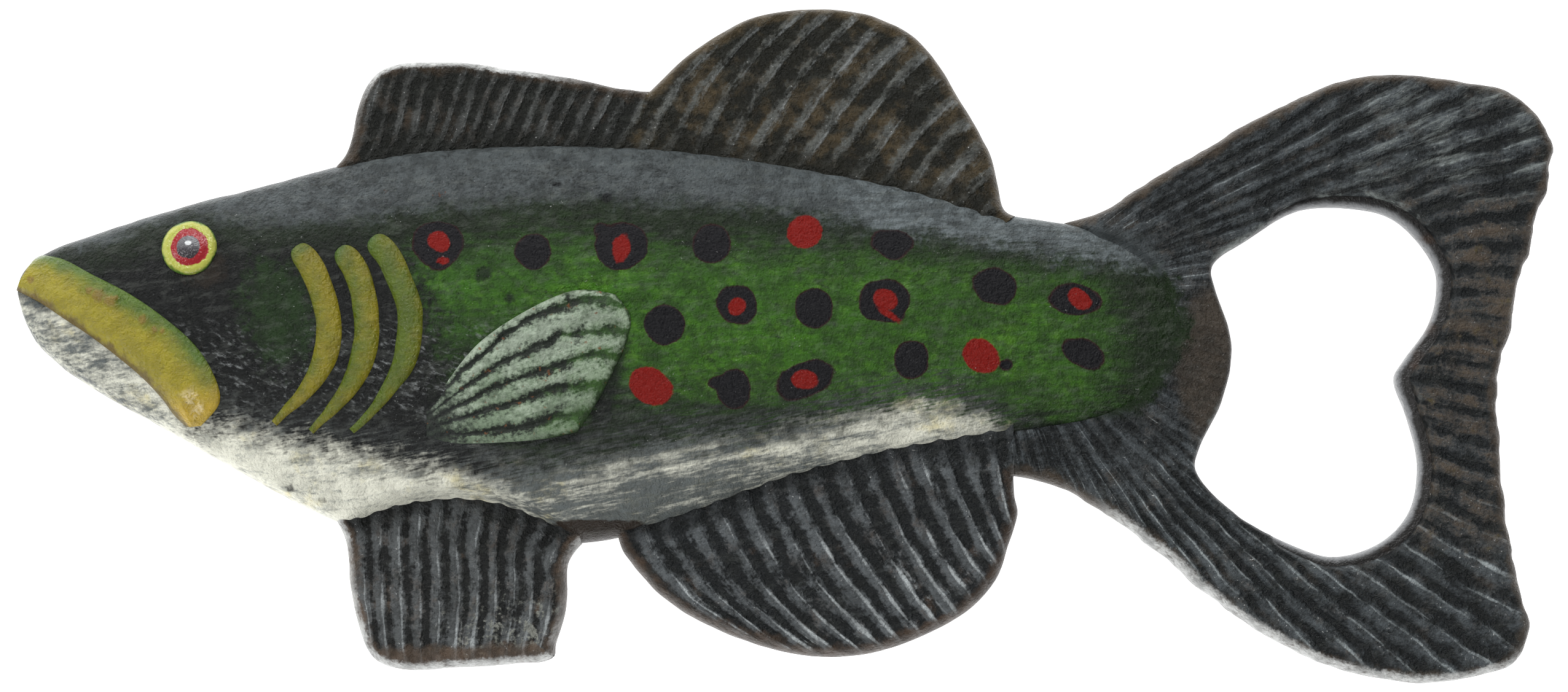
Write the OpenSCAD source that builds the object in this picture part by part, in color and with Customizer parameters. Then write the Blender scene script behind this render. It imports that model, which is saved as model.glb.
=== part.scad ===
// Souvenir bottle opener: a cast-iron fish with the opening in its tail fin.
// The casting has two equal faces about its parting plane. Every node is one zone of it,
// and zones meet face to face. X runs from snout to tail, Y from belly to back and
// Z through the thickness. The origin is at the bottom centre, lying on the right flank.

/* [Body] */
// Length of the body from the snout to the end of the flank
body_l = 129; // [110:1:155]
// Depth of the body from the back to the belly
body_h = 44; // [37:1:53]
// Thickness of the body through both flanks
body_t = 16; // [13:0.5:20]

/* [Fins] */
// Thickness of the fin and tail plates
fin_t = 5; // [4:0.25:6]
// Height of the spiny front dorsal fin above the back
spiny_h = 10; // [8:0.5:12]
// Height of the soft rear dorsal fin above the back
soft_h = 17.5; // [14:0.5:21]
// Depth of the pelvic fin below the belly
pelvic_h = 13.7; // [11:0.1:17]
// Depth of the anal fin below the belly
anal_h = 20; // [16:0.5:24]
// Distance from one fin ray to the next
ray_pitch = 2.2; // [1.8:0.1:3]
// Height of a fin ray above its plate
ray_h = 0.4; // [0.3:0.05:0.6]

/* [Tail] */
// Length of the tail fin behind the flank
tail_l = 41; // [38:1:50]
// Span of the tail fin from its lower tip to its upper tip
tail_h = 67.6; // [64:1:82]

/* [Opening] */
// Gap from the tip of the tooth to the fulcrum
cap_gap = 18; // [15:0.1:21.6]
// Width of the opening across the tail
mouth_w = 38.6; // [32:0.1:46.4]
// Width of the thin rim that lines the opening
rim_w = 1.4; // [1:0.1:1.8]
// Thickness of the rim and the tooth
rim_t = 2.6; // [2:0.1:3.2]
// Length of the tooth's root along the rim
tooth_w = 8; // [6:0.5:10]
// Length of the fulcrum land across from the tooth
fulcrum_w = 9; // [7:0.5:11]
// Depth of the fulcrum land behind the opening's edge
fulcrum_d = 3.4; // [2.5:0.1:4]

/* [Head and flank] */
// Height of the lip above the flank
lip_h = 0.9; // [0.6:0.1:1.3]
// Diameter of the eye's yellow ring
eye_d = 6.2; // [5:0.2:7.4]
// Height of the eye above the flank
eye_h = 0.9; // [0.6:0.1:1.3]
// Width of a gill ridge
gill_w = 2.2; // [1.6:0.1:2.8]
// Height of a gill ridge above the flank
gill_h = 0.8; // [0.5:0.1:1.2]
// Distance from one gill ridge to the next
gill_pitch = 4.4; // [3.6:0.1:5.2]
// Height of the pectoral fin above the flank
pectoral_h = 0.7; // [0.5:0.1:1]
// Number of rays in the pectoral fin
pectoral_rays = 6; // [4:1:8]

/* [Hidden] */

// Outlines are drawn for this standard size, and stretch with the driving dimensions.
std_l = 129;
std_h = 44;
std_tail_l = 41;
std_tail_h = 67.6;
std_gap = 18;
std_mouth = 38.6;
sx = body_l / std_l;
sy = body_h / std_h;

edge_t = fin_t / 2;       // height of the casting's edge above the parting plane
skin_gap = 0.2;           // step at the edge of a raised feature
stations = 64;            // sections along the body
dome_steps = 9;           // points from the edge of a section to its crown
smooth = 5;               // points on each stretch of an outline

// Back and belly, from the snout (x = 0) to the end of the flank.
back_pts = [[0, 5.7], [0.5, 8], [3, 10.1], [8, 12], [18, 15.2], [27, 17.5], [34, 19.4],
    [42, 21.2], [52, 22.1], [64, 22.2], [75, 21.5], [88, 19.6], [100, 17.1], [109, 14.5],
    [116, 13.4], [122, 11.6], [126.5, 8], [129, 1.5]];
belly_pts = [[0, 5.7], [0.6, 2.8], [2.6, -0.5], [8, -4.6], [16, -9.1], [26, -14.8], [35, -19.4],
    [44, -21.6], [54, -22.1], [64, -21.9], [74, -19.4], [84, -15.7], [96, -12.6], [108, -10.7],
    [118, -9.3], [124.5, -6.4], [129, 1.5]];
// Half thickness along the body, as shares of the way from the edge to the full thickness.
swell_pts = [[0, 0.12], [6, 0.42], [16, 0.68], [30, 0.9], [46, 0.99], [56, 1], [70, 0.96],
    [88, 0.76], [104, 0.48], [116, 0.26], [129, 0.04]];

// Point on the smooth curve from b to c, with neighbours a and d (Catmull-Rom).
function between(a, b, c, d, t) =
    0.5 * (2 * b + (c - a) * t + (2 * a - 5 * b + 4 * c - d) * t * t
        + (3 * b - a - 3 * c + d) * t * t * t);
// Smooth open curve through hand-chosen points.
function curve(pts, n = smooth) = let (m = len(pts) - 1)
    [for (i = [0 : m - 1], k = [0 : n - 1])
        between(pts[max(i - 1, 0)], pts[i], pts[i + 1], pts[min(i + 2, m)], k / n), pts[m]];
// Smooth closed curve through hand-chosen points.
function loop(pts, n = smooth) = let (m = len(pts))
    [for (i = [0 : m - 1], k = [0 : n - 1])
        between(pts[(i + m - 1) % m], pts[i], pts[(i + 1) % m], pts[(i + 2) % m], k / n)];
function backwards(pts) = [for (i = [len(pts) - 1 : -1 : 0]) pts[i]];
function stretched(pts, kx, ky) = [for (p = pts) [p.x * kx, p.y * ky]];

back_curve = stretched(curve(back_pts), sx, sy);
belly_curve = stretched(curve(belly_pts), sx, sy);
swell_curve = stretched(curve(swell_pts), sx, 1);

// Stations crowd together at the snout and at the end of the flank.
station_x = [for (i = [0 : stations]) body_l * (1 - cos(180 * i / stations)) / 2];
back_edge = [for (x = station_x) [x, lookup(x, back_curve)]];
belly_edge = [for (x = station_x) [x, lookup(x, belly_curve)]];
function back_y(x) = lookup(x, back_edge);
function belly_y(x) = lookup(x, belly_edge);

// Height of the flank above the parting plane: an arch from edge to edge.
arch = 0.62;
function crown_z(x) = edge_t + (body_t / 2 - edge_t) * lookup(x, swell_curve);
function flank_z(x, y) =
    let (a = belly_y(x), b = back_y(x), s = (2 * y - a - b) / max(b - a, 0.01))
    edge_t + (crown_z(x) - edge_t) * pow(max(1 - s * s, 0), arch);

// Point of the standard body moved to the chosen size.
function on_body(p) = [p.x * sx, p.y * sy];

// Section of the body at a station, once round from the lower edge.
function section(i) =
    let (x = station_x[i], a = belly_edge[i].y, b = back_edge[i].y,
        ys = [for (k = [0 : 2 * dome_steps]) a + (b - a) * (1 - cos(90 * k / dome_steps)) / 2])
    concat([for (y = ys) [x, y, flank_z(x, y)]],
        [for (k = [2 * dome_steps : -1 : 0]) [x, ys[k], -flank_z(x, ys[k])]]);

// Closed skin over equal rings of points, with flat ends.
module loft(rings) {
    n = len(rings[0]);
    m = len(rings);
    polyhedron(
        points = [for (r = rings) each r],
        faces = concat(
            [[for (k = [0 : n - 1]) k]],
            [for (i = [0 : m - 2], k = [0 : n - 1]) let (a = i * n + k, b = i * n + (k + 1) % n)
                each [[a, a + n, b], [b, a + n, b + n]]],
            [[for (k = [n - 1 : -1 : 0]) (m - 1) * n + k]]));
}

module body() {
    color("darkolivegreen") loft([for (i = [1 : stations - 1]) section(i)]);
}

// Edge of the body from station x a to station x b, with both end points on it.
function along(edge, a, b) = concat([[a, lookup(a, edge)]],
    [for (p = edge) if (p.x > a + 0.05 && p.x < b - 0.05) p], [[b, lookup(b, edge)]]);

// Fin edges: place along the body, and share of the fin's height beyond the body.
spiny_pts = [[35.2, 0], [36.4, 0.13], [37.1, 0.37], [37.6, 0.6], [38.6, 0.84], [40.5, 0.98],
    [43.5, 1], [49, 0.95], [55, 0.84], [61, 0.75], [66.5, 0.64], [70, 0.63]];
soft_pts = [[70, 0.36], [71, 0.42], [74, 0.6], [78, 0.78], [82, 0.92], [88, 1.02], [93, 1.05],
    [96.5, 1.03], [99.5, 0.97], [102, 0.85], [104, 0.69], [106, 0.53], [107.8, 0.35],
    [108.6, 0.19], [109.2, 0.04], [110.5, 0]];
pelvic_pts = [[35.6, 0], [36.6, 0.14], [37, 0.38], [37.6, 0.64], [38.5, 0.88], [40.2, 1.03],
    [43, 1.06], [48, 1.01], [55, 0.96], [59.2, 0.92], [59.8, 0.79], [60.7, 0.58], [61, 0.4],
    [61.1, 0.15], [62.6, 0]];
anal_pts = [[66.6, 0], [67.4, 0.1], [69.2, 0.24], [71.5, 0.39], [75, 0.56], [79.5, 0.75],
    [84, 0.9], [89, 1.01], [94.5, 1.06], [100, 1.02], [105, 0.92], [108.2, 0.77], [109.7, 0.58],
    [110.6, 0.43], [110.3, 0.32], [110.2, 0.21]];

function above(pts, h) = [for (p = curve(pts)) [p.x * sx, back_y(p.x * sx) + p.y * h]];
function below(pts, h) = [for (p = curve(pts)) [p.x * sx, belly_y(p.x * sx) - p.y * h]];

spiny_edge = above(spiny_pts, spiny_h);
soft_edge = above(soft_pts, soft_h);
pelvic_edge = below(pelvic_pts, pelvic_h);
anal_edge = below(anal_pts, anal_h);
function first(pts) = pts[0];
function last(pts) = pts[len(pts) - 1];

spiny_outline = concat(spiny_edge, backwards(along(back_edge, first(spiny_edge).x, last(spiny_edge).x)));
soft_outline = concat([last(spiny_edge)], [for (i = [1 : len(soft_edge) - 1]) soft_edge[i]],
    backwards(along(back_edge, first(soft_edge).x, last(soft_edge).x)));
pelvic_outline = concat(pelvic_edge, backwards(along(belly_edge, first(pelvic_edge).x, last(pelvic_edge).x)));
anal_outline = concat(anal_edge, backwards(along(belly_edge, first(anal_edge).x, last(anal_edge).x)));

// Tail: from the end of the flank (x = 0), stretched with the tail's length and span.
// It starts on the back, runs round both lobes and comes back to the belly.
tail_pts = [[-9, 14.7], [-4, 17.9], [2, 21.4], [8, 25], [14, 28], [19, 29.7], [25, 30.1],
    [33, 29], [36.5, 28], [39, 26], [40.7, 23.5], [40.9, 20], [40.4, 17], [38, 9.5], [36.3, 2.5],
    [35, -2.5], [34.7, -8], [35, -13], [35.6, -20], [37.2, -28], [37.7, -31], [37.3, -33.5],
    [36, -35.3], [33, -36.4], [26, -37.4], [18, -36.1], [13, -34.2], [8, -31.7], [3, -28],
    [-2, -23.6], [-6, -20.5], [-11, -17.1], [-16.5, -14.9]];
tail_kx = tail_l / std_tail_l;
tail_ky = tail_h / std_tail_h;
back_root = 115.5 * sx;   // where the tail leaves the back
belly_root = last(anal_edge).x;
// Control points near the root move with the body, and those behind the flank with the tail.
function tail_point(p) = p.x > 0
    ? [body_l + p.x * tail_kx, p.y * tail_ky]
    : [body_l + p.x * sx, p.y * tail_ky];
tail_edge = curve(concat([[back_root, back_y(back_root)]], [for (p = tail_pts) tail_point(p)]));
tail_root = concat(
    [for (p = belly_edge) if (p.x > belly_root + 0.05) p],
    [for (i = [stations - 1 : -1 : 0]) if (back_edge[i].x > back_root + 0.05) back_edge[i]]);
tail_outline = concat(tail_edge, [last(anal_edge), [belly_root, belly_y(belly_root)]], tail_root);

// Opening, about the middle of the line from the tooth's tip to the fulcrum: tooth on the
// right, fulcrum on the left, one lobe above and one below.
mouth_pts = [[9, -0.4], [10.1, 1.9], [12.6, 5.4], [13.7, 9], [13.3, 12.7], [9.8, 17], [5.5, 18.6],
    [-1.4, 18.5], [-7.4, 15.1], [-10.9, 12.6], [-10.9, 9.8], [-9.4, 5.6], [-9, 2.2],
    [-10.2, -2.9], [-12.6, -7.8], [-12.9, -10.9], [-8.4, -15.5], [-1, -19.2], [3.1, -19.8],
    [7.6, -18.1], [10.6, -14.6], [11.4, -9.4], [10.2, -4.2]];
mouth_y = -3.6 * tail_ky;
mouth_x = body_l + 14.4 * tail_kx;
mouth = [for (p = stretched(loop(mouth_pts), cap_gap / std_gap, mouth_w / std_mouth))
    p + [mouth_x, mouth_y]];

// Outer edge of the rim: the opening's edge moved outwards, each point square to its
// neighbours. The rim starts narrow above and below the fulcrum and is full beside the tooth.
rim_start = mouth_x - 4.5 * cap_gap / std_gap;
function rim_at(p) = rim_w * (0.4 + 0.6 * min(max((p.x - rim_start) / (0.6 * cap_gap), 0), 1));
mouth_seat = let (m = len(mouth)) [for (i = [0 : m - 1])
    let (t = mouth[(i + 1) % m] - mouth[(i + m - 1) % m])
    mouth[i] + rim_at(mouth[i]) * [t.y, -t.x] / norm(t)];

// Everything is drawn with the snout at x = 0 and the parting plane at z = 0, then centred.
outline_pts = concat([for (i = [1 : stations - 1]) back_edge[i]], soft_edge, pelvic_edge,
    anal_edge, tail_edge, spiny_edge);
mid_x = (min([for (p = outline_pts) p.x]) + max([for (p = outline_pts) p.x])) / 2;
mid_y = (min([for (p = outline_pts) p.y]) + max([for (p = outline_pts) p.y])) / 2;

// Straight or fanned rays across a fin: a bar for each ray, from the root point to the edge point.
module rays(roots, tips, count) {
    ray_w = ray_pitch * 0.45;
    for (i = [0 : count - 1]) {
        t = (i + 0.5) / count;
        a = roots[0] + (roots[1] - roots[0]) * t;
        b = tips[0] + (tips[1] - tips[0]) * t;
        n = ray_w / 2 * [a.y - b.y, b.x - a.x] / norm(b - a);
        polygon([a + n, b + n, b - n, a - n]);
    }
}

// Fin plate with its rays standing on both faces, kept clear of the edge.
module plate(outline, rim = 0.8) {
    linear_extrude(fin_t, center = true) polygon(outline);
    linear_extrude(fin_t + 2 * ray_h, center = true) intersection() {
        offset(delta = -rim) polygon(outline);
        children();
    }
}
function ray_count(a, b) = max(3, round(norm(b - a) / ray_pitch));

module spiny_dorsal_fin() {
    a = first(spiny_edge) + [1, 0];
    b = [last(spiny_edge).x, back_y(last(spiny_edge).x)];
    color("dimgray") plate(spiny_outline)
        rays([a, b], [a + [6, spiny_h], b + [9, spiny_h]], ray_count(a, b));
}

module soft_dorsal_fin() {
    a = [first(soft_edge).x - 6, back_y(first(soft_edge).x)];
    b = last(soft_edge) + [0, 1];
    color("dimgray") plate(soft_outline)
        rays([a, b], [a + [20, soft_h + 8], b + [16, 6]], ray_count(a, b));
}

module pelvic_fin() {
    a = first(pelvic_edge) + [1, 0];
    b = last(pelvic_edge);
    color("dimgray") plate(pelvic_outline)
        rays([a, b], [a + [2, -pelvic_h - 3], b + [-1, -pelvic_h - 3]], ray_count(a, b));
}

module anal_fin() {
    a = first(anal_edge) - [4, 0];
    b = [last(anal_edge).x, belly_y(last(anal_edge).x)];
    color("dimgray") plate(anal_outline)
        rays([a, b], [a + [16, -anal_h - 4], b + [14, -anal_h]], ray_count(a, b));
}

module tail_fin() {
    // Rays fan out from a point ahead of the tail's root.
    hub = [body_l - 0.3 * tail_l, mouth_y + 0.05 * tail_h];
    reach = 1.5 * tail_h;
    count = round(tail_h / ray_pitch);
    color("dimgray") difference() {
        plate(tail_outline) for (i = [0 : count]) {
            angle = -62 + 124 * i / count;
            rotate_about(hub, angle) translate(hub)
                polygon([[8, -0.25], [reach, -1.4], [reach, 1.4], [8, 0.25]]);
        }
        linear_extrude(fin_t + 4 * ray_h, center = true) {
            polygon(mouth);
            rim_ring();
            fulcrum_zone();
        }
    }
}

module rotate_about(p, angle) {
    translate(p) rotate(angle) translate(-p) children();
}

// Zone of the rim that belongs to the tooth.
module tooth_zone() {
    translate([mouth_x + cap_gap / 2 - 2, mouth_y - tooth_w / 2]) square([rim_w + 8, tooth_w]);
}

// Zone of the plate that belongs to the fulcrum, across from the tooth.
fulcrum_x = mouth_x - cap_gap / 2;
module fulcrum_zone() {
    translate([fulcrum_x - fulcrum_d, mouth_y + cap_gap * 0.06 - fulcrum_w / 2])
        square([fulcrum_d + 2, fulcrum_w]);
}

module rim_ring() {
    intersection() {
        difference() {
            polygon(mouth_seat);
            polygon(mouth);
        }
        translate([rim_start, mouth_y - mouth_w]) square([2 * mouth_w, 2 * mouth_w]);
    }
}

module cap_fulcrum() {
    color("saddlebrown") linear_extrude(fin_t, center = true) difference() {
        fulcrum_zone();
        polygon(mouth);
    }
}

module opener_rim() {
    color("gray") linear_extrude(rim_t, center = true) difference() {
        rim_ring();
        tooth_zone();
    }
}

module cap_tooth() {
    color("silver") linear_extrude(rim_t, center = true) intersection() {
        rim_ring();
        tooth_zone();
    }
}

// Rings of a raised feature on the left flank. It follows a centre line, has a half width at each
// point of it, and its height is a function of the way along t and the way across s (-1 to 1).
function raised(centre, half_w, height, nu = 18, nv = 4) =
    [for (i = [0 : nu])
        let (t = i / nu,
            p = centre(t), q = centre(min(t + 0.01, 1)) - centre(max(t - 0.01, 0)),
            n = [-q.y, q.x] / norm(q), w = half_w(t),
            foot = [for (k = [-nv : nv]) p + n * w * k / nv],
            top = [for (k = [-nv : nv]) let (f = foot[k + nv])
                [f.x, f.y, flank_z(f.x, f.y) + skin_gap + height(t, k / nv)]])
        concat(top, [for (k = [nv : -1 : -nv]) let (f = foot[k + nv]) [f.x, f.y, flank_z(f.x, f.y)]])];

// Point at share t of a smooth curve through a few points.
function at(pts, t) = let (m = len(pts) - 1, u = min(t * m, m - 0.0001), i = floor(u))
    on_body(between(pts[max(i - 1, 0)], pts[i], pts[i + 1], pts[min(i + 2, m)], u - i));
function round_end(t, blunt = 0.35) = sqrt(max(1 - pow(abs(2 * t - 1), 1 / blunt), 0.02));
function crowned(s) = pow(max(1 - s * s, 0), 0.5);

lip_pts = [[1.2, 7.4], [7, 4.8], [13, 1.6], [17.2, -2.6], [20.4, -7.6]];
lip_rings = raised(
    function (t) at(lip_pts, t),
    function (t) (2.3 + 0.3 * t) * round_end(t, 0.12),
    function (t, s) lip_h * crowned(s));
module lip() {
    color("goldenrod") loft(lip_rings);
}

eye_at = [19.2, 10.8];
eye_rings = raised(
    function (t) on_body(eye_at) + [(t - 0.5) * eye_d * 0.995, 0],
    function (t) sqrt(max(1 - pow(2 * t - 1, 2), 0.01)) * eye_d / 2,
    function (t, s) eye_h * sqrt(max(1 - pow(2 * t - 1, 2), 0)) * crowned(s), 16, 5);
module eye() {
    color("khaki") loft(eye_rings);
}

gill_pts = [[31, 10.6], [33.8, 6.6], [34.8, 1.6], [33.4, -3.8], [29.4, -8.8]];
gill_rings = [for (i = [0 : 2]) raised(
    function (t) at(gill_pts, t) + [gill_pitch * i, 0.6 * i],
    function (t) gill_w / 2 * round_end(t, 0.3) * (1.1 - 0.5 * t),
    function (t, s) gill_h * crowned(s), 16, 3)];
module gill_ridges() {
    color("olive") for (rings = gill_rings) loft(rings);
}

pectoral_pts = [[44.5, -9.3], [51, -5.8], [58, -3.3], [66, -0.6]];
pectoral_rings = raised(
    function (t) at(pectoral_pts, t),
    function (t) (1 + 7.2 * pow(t, 0.7)) * sy * round_end(0.5 + t / 2, 0.25),
    function (t, s) pectoral_h * (0.55 + 0.45 * cos(360 * pectoral_rays * (s + 1) / 2)),
    8, pectoral_rays);
module pectoral_fin() {
    color("lightgray") loft(pectoral_rings);
}

module placed() {
    translate([-mid_x, -mid_y, half_t]) children();
}

// Half thickness over everything, so that the lowest point stands at z = 0.
all_rings = concat([lip_rings, eye_rings, pectoral_rings], gill_rings);
half_t = max([for (x = station_x) crown_z(x), for (rings = all_rings, ring = rings, p = ring) p.z]);

placed() body();
placed() spiny_dorsal_fin();
placed() soft_dorsal_fin();
placed() pelvic_fin();
placed() anal_fin();
placed() tail_fin();
placed() opener_rim();
placed() cap_tooth();
placed() cap_fulcrum();
placed() lip();  // left_lip
placed() mirror([0, 0, 1]) lip();  // right_lip
placed() eye();  // left_eye
placed() mirror([0, 0, 1]) eye();  // right_eye
placed() gill_ridges();  // left_gill_ridges
placed() mirror([0, 0, 1]) gill_ridges();  // right_gill_ridges
placed() pectoral_fin();  // left_pectoral_fin
placed() mirror([0, 0, 1]) pectoral_fin();  // right_pectoral_fin
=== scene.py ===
import math

import bpy
import numpy as np
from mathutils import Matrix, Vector


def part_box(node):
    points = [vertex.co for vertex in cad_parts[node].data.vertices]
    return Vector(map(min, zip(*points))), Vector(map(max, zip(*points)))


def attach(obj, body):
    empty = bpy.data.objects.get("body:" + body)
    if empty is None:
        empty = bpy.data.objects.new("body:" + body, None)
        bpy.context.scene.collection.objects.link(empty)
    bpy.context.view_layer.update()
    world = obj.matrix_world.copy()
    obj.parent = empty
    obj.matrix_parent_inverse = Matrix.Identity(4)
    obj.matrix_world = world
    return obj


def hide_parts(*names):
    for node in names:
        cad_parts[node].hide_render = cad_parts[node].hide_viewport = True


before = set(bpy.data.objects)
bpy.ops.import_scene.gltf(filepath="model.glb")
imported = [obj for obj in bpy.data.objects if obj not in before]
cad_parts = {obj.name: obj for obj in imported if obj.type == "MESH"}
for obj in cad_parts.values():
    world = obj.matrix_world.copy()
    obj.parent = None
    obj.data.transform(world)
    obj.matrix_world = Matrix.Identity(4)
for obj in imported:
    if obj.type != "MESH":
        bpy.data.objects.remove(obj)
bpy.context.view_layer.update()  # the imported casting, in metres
print("frame loaded")

# Everything below is worked out in millimetres, with z = 0 on the parting plane.
mm = 0.001
landLow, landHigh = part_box("cap_fulcrum")
midZ = (landLow.z + landHigh.z) / 2 / mm
plateHalf = (landHigh.z - landLow.z) / 2 / mm
bodyLow, bodyHigh = [np.array(c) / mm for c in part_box("body")]


# The camera, the floor and the lights.

studio = {
    "cameraDistance": 560,  # mm from the parting plane
    "cameraTilt": 5.0,      # degrees towards the belly
    "viewWidth": 173.6,     # mm across the picture
    "lookAt": (-0.12, -0.15),  # mm, the middle of the picture
    "floorReach": 1.6,      # metres
    "floorGlow": 1.0,
    "worldLevel": 0.29,
}
softboxes = {  # place and size in metres, then watts; each one faces the part
    "backLight": ((0.0, 0.62, 0.42), (0.7, 0.25), 4.3),
    "frontLight": ((-0.1, -0.6, 0.32), (0.5, 0.2), 1.7),
    "leftLight": ((-0.6, 0.1, 0.45), (0.25, 0.4), 1.9),
}


def makeCamera():
    tilt = math.radians(studio["cameraTilt"])
    away = studio["cameraDistance"] * mm
    data = bpy.data.cameras.new("camera")
    data.sensor_width = 36
    data.lens = data.sensor_width * studio["cameraDistance"] / studio["viewWidth"]
    camera = bpy.data.objects.new("camera", data)
    bpy.context.collection.objects.link(camera)
    acrossX, acrossY = studio["lookAt"]
    camera.location = (acrossX * mm, acrossY * mm - away * math.sin(tilt),
                       midZ * mm + away * math.cos(tilt))
    camera.rotation_euler = (tilt, 0, 0)
    bpy.context.scene.camera = camera


def makeFloor():
    reach = studio["floorReach"]
    mesh = bpy.data.meshes.new("floor")
    mesh.from_pydata([(-reach, -reach, 0), (reach, -reach, 0), (reach, reach, 0), (-reach, reach, 0)],
                     [], [(0, 1, 2, 3)])
    floor = bpy.data.objects.new("floor", mesh)
    bpy.context.collection.objects.link(floor)
    paper = bpy.data.materials.new("whitePaper")
    paper.use_nodes = True
    shader = paper.node_tree.nodes["Principled BSDF"]
    shader.inputs["Base Color"].default_value = (0.9, 0.9, 0.9, 1)
    shader.inputs["Roughness"].default_value = 0.8
    shader.inputs["Emission Color"].default_value = (1, 1, 1, 1)
    shader.inputs["Emission Strength"].default_value = studio["floorGlow"]
    mesh.materials.append(paper)


def makeSoftbox(name, place, size, watts):
    data = bpy.data.lights.new(name, "AREA")
    data.shape = "RECTANGLE"
    data.size, data.size_y = size
    data.energy = watts
    lamp = bpy.data.objects.new(name, data)
    bpy.context.collection.objects.link(lamp)
    lamp.location = place
    lamp.rotation_euler = (-Vector(place)).to_track_quat("-Z", "Y").to_euler()


makeCamera()
makeFloor()
for name, softbox in softboxes.items():
    makeSoftbox(name, *softbox)
world = bpy.data.worlds.new("studio")
world.use_nodes = True
world.node_tree.nodes["Background"].inputs["Color"].default_value = (1, 1, 1, 1)
world.node_tree.nodes["Background"].inputs["Strength"].default_value = studio["worldLevel"]
bpy.context.scene.world = world
bpy.context.scene.view_settings.view_transform = "Standard"
print("studio ready")


# Plain number work.

lattice = np.random.default_rng(7).random((256, 256))


def grain(x, y, size, seed=0):
    # Smooth random field, -1 to 1: lattice values blended with a smooth step, one value every size mm.
    u, v = x / size + 17.3 * seed, y / size + 41.7 * seed
    i, j = np.floor(u).astype(int), np.floor(v).astype(int)
    a, b = u - i, v - j
    a, b = a * a * (3 - 2 * a), b * b * (3 - 2 * b)
    at = lambda p, q: lattice[(i + p) % 256, (j + q) % 256]
    low = at(0, 0) * (1 - a) + at(1, 0) * a
    high = at(0, 1) * (1 - a) + at(1, 1) * a
    return 2 * (low * (1 - b) + high * b) - 1


def roughCast(x, y, seed=0):  # skin of the casting: three sizes of grain added up
    return (0.5 * grain(x, y, 3.1, seed) + 0.3 * grain(x, y, 1.3, seed + 1)
            + 0.2 * grain(x, y, 0.62, seed + 2))


def step(low, high, value):  # smooth step from 0 at low to 1 at high
    t = np.clip((value - low) / (high - low), 0, 1)
    return t * t * (3 - 2 * t)


def crowd(count, weight, ends="both"):  # 0 to 1 in count steps, closer together at one or both ends
    t = np.linspace(0, 1, count + 1)
    near = 0.5 - 0.5 * np.cos(np.pi * t) if ends == "both" else np.sin(np.pi * t / 2)
    return (1 - weight) * t + weight * near


def throughPoints(points, t):
    # Smooth curve through a few points, t from 0 to 1 along them by their number (Catmull-Rom).
    p = np.asarray(points, float)
    last = len(p) - 1
    u = np.clip(t, 0, 1) * last
    i = np.minimum(np.floor(u).astype(int), last - 1)
    k = (u - i)[..., None]
    a, b, c, d = p[np.maximum(i - 1, 0)], p[i], p[i + 1], p[np.minimum(i + 2, last)]
    return 0.5 * (2 * b + (c - a) * k + (2 * a - 5 * b + 4 * c - d) * k ** 2
                  + (3 * b - a - 3 * c + d) * k ** 3)


def alongLine(points, shares):  # points of a polyline at shares of its length
    p = np.asarray(points, float)
    run = np.r_[0, np.cumsum(np.hypot(*np.diff(p, axis=0).T))]
    return np.stack([np.interp(shares * run[-1], run, p[:, k]) for k in (0, 1)], -1)


def eased(points, reach):  # polyline resampled every 0.1 mm and smoothed over reach mm, ends kept
    p = np.asarray(points, float)
    length = np.hypot(*np.diff(p, axis=0).T).sum()
    count = max(int(length / 0.1), 8)
    q = alongLine(p, np.linspace(0, 1, count + 1))
    half = max(int(reach / 0.1), 1)
    weights = np.hanning(2 * half + 3)[1:-1]
    padded = np.r_[2 * q[0] - q[half:0:-1], q, 2 * q[-1] - q[-2:-half - 2:-1]]
    return np.stack([np.convolve(padded[:, k], weights / weights.sum(), "valid") for k in (0, 1)], -1)


def reachTo(x, y, line, heading=False):
    # Distance in mm from each point to a polyline; with heading, also the +x share of the nearest stretch.
    x, y = np.broadcast_arrays(x, y)
    shape = x.shape
    p = np.stack([x.ravel(), y.ravel()], -1)
    best, ahead = np.full(len(p), 1e9), np.zeros(len(p))
    for a, b in zip(line[:-1], line[1:]):
        along = b - a
        t = np.clip(((p - a) @ along) / max(along @ along, 1e-12), 0, 1)
        gap = p - a - t[:, None] * along
        square = (gap * gap).sum(1)
        closer = square < best
        best = np.where(closer, square, best)
        if heading:
            ahead[closer] = along[0] / max(math.hypot(*along), 1e-9)
    distance = np.sqrt(best).reshape(shape)
    return (distance, ahead.reshape(shape)) if heading else distance


# Outlines of the casting, read from the frame.

def nodeTriangles(name):  # corners of a CAD node's triangles
    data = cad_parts[name].data
    data.calc_loop_triangles()
    points = np.empty(len(data.vertices) * 3)
    data.vertices.foreach_get("co", points)
    points = points.reshape(-1, 3) / mm
    points[:, 2] -= midZ
    index = np.empty(len(data.loop_triangles) * 3, int)
    data.loop_triangles.foreach_get("vertices", index)
    return points[index].reshape(-1, 3, 3)


def plateWalls(name, half=None):  # the walls that span a plate, seen from above, as segments
    half = plateHalf if half is None else half
    corners = nodeTriangles(name)
    spans = (corners[:, :, 2].min(1) < 0.6 - half) & (corners[:, :, 2].max(1) > half - 0.6)
    flat = corners[spans][:, :, :2]
    sides = np.stack([flat, np.roll(flat, -1, 1)], 2)  # each triangle's sides; the longest is the wall
    pairs = sides[np.arange(len(sides)), np.argmax(np.hypot(*(flat - np.roll(flat, -1, 1)).T), 0)]
    pairs = pairs[np.hypot(*(pairs[:, 1] - pairs[:, 0]).T) > 1e-3]
    ahead = pairs[:, 0] - pairs[:, 1]
    flip = (ahead[:, 0] > 0) | ((ahead[:, 0] == 0) & (ahead[:, 1] > 0))
    pairs[flip] = pairs[flip][:, ::-1]
    return np.unique(np.round(pairs, 3), axis=0)


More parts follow.
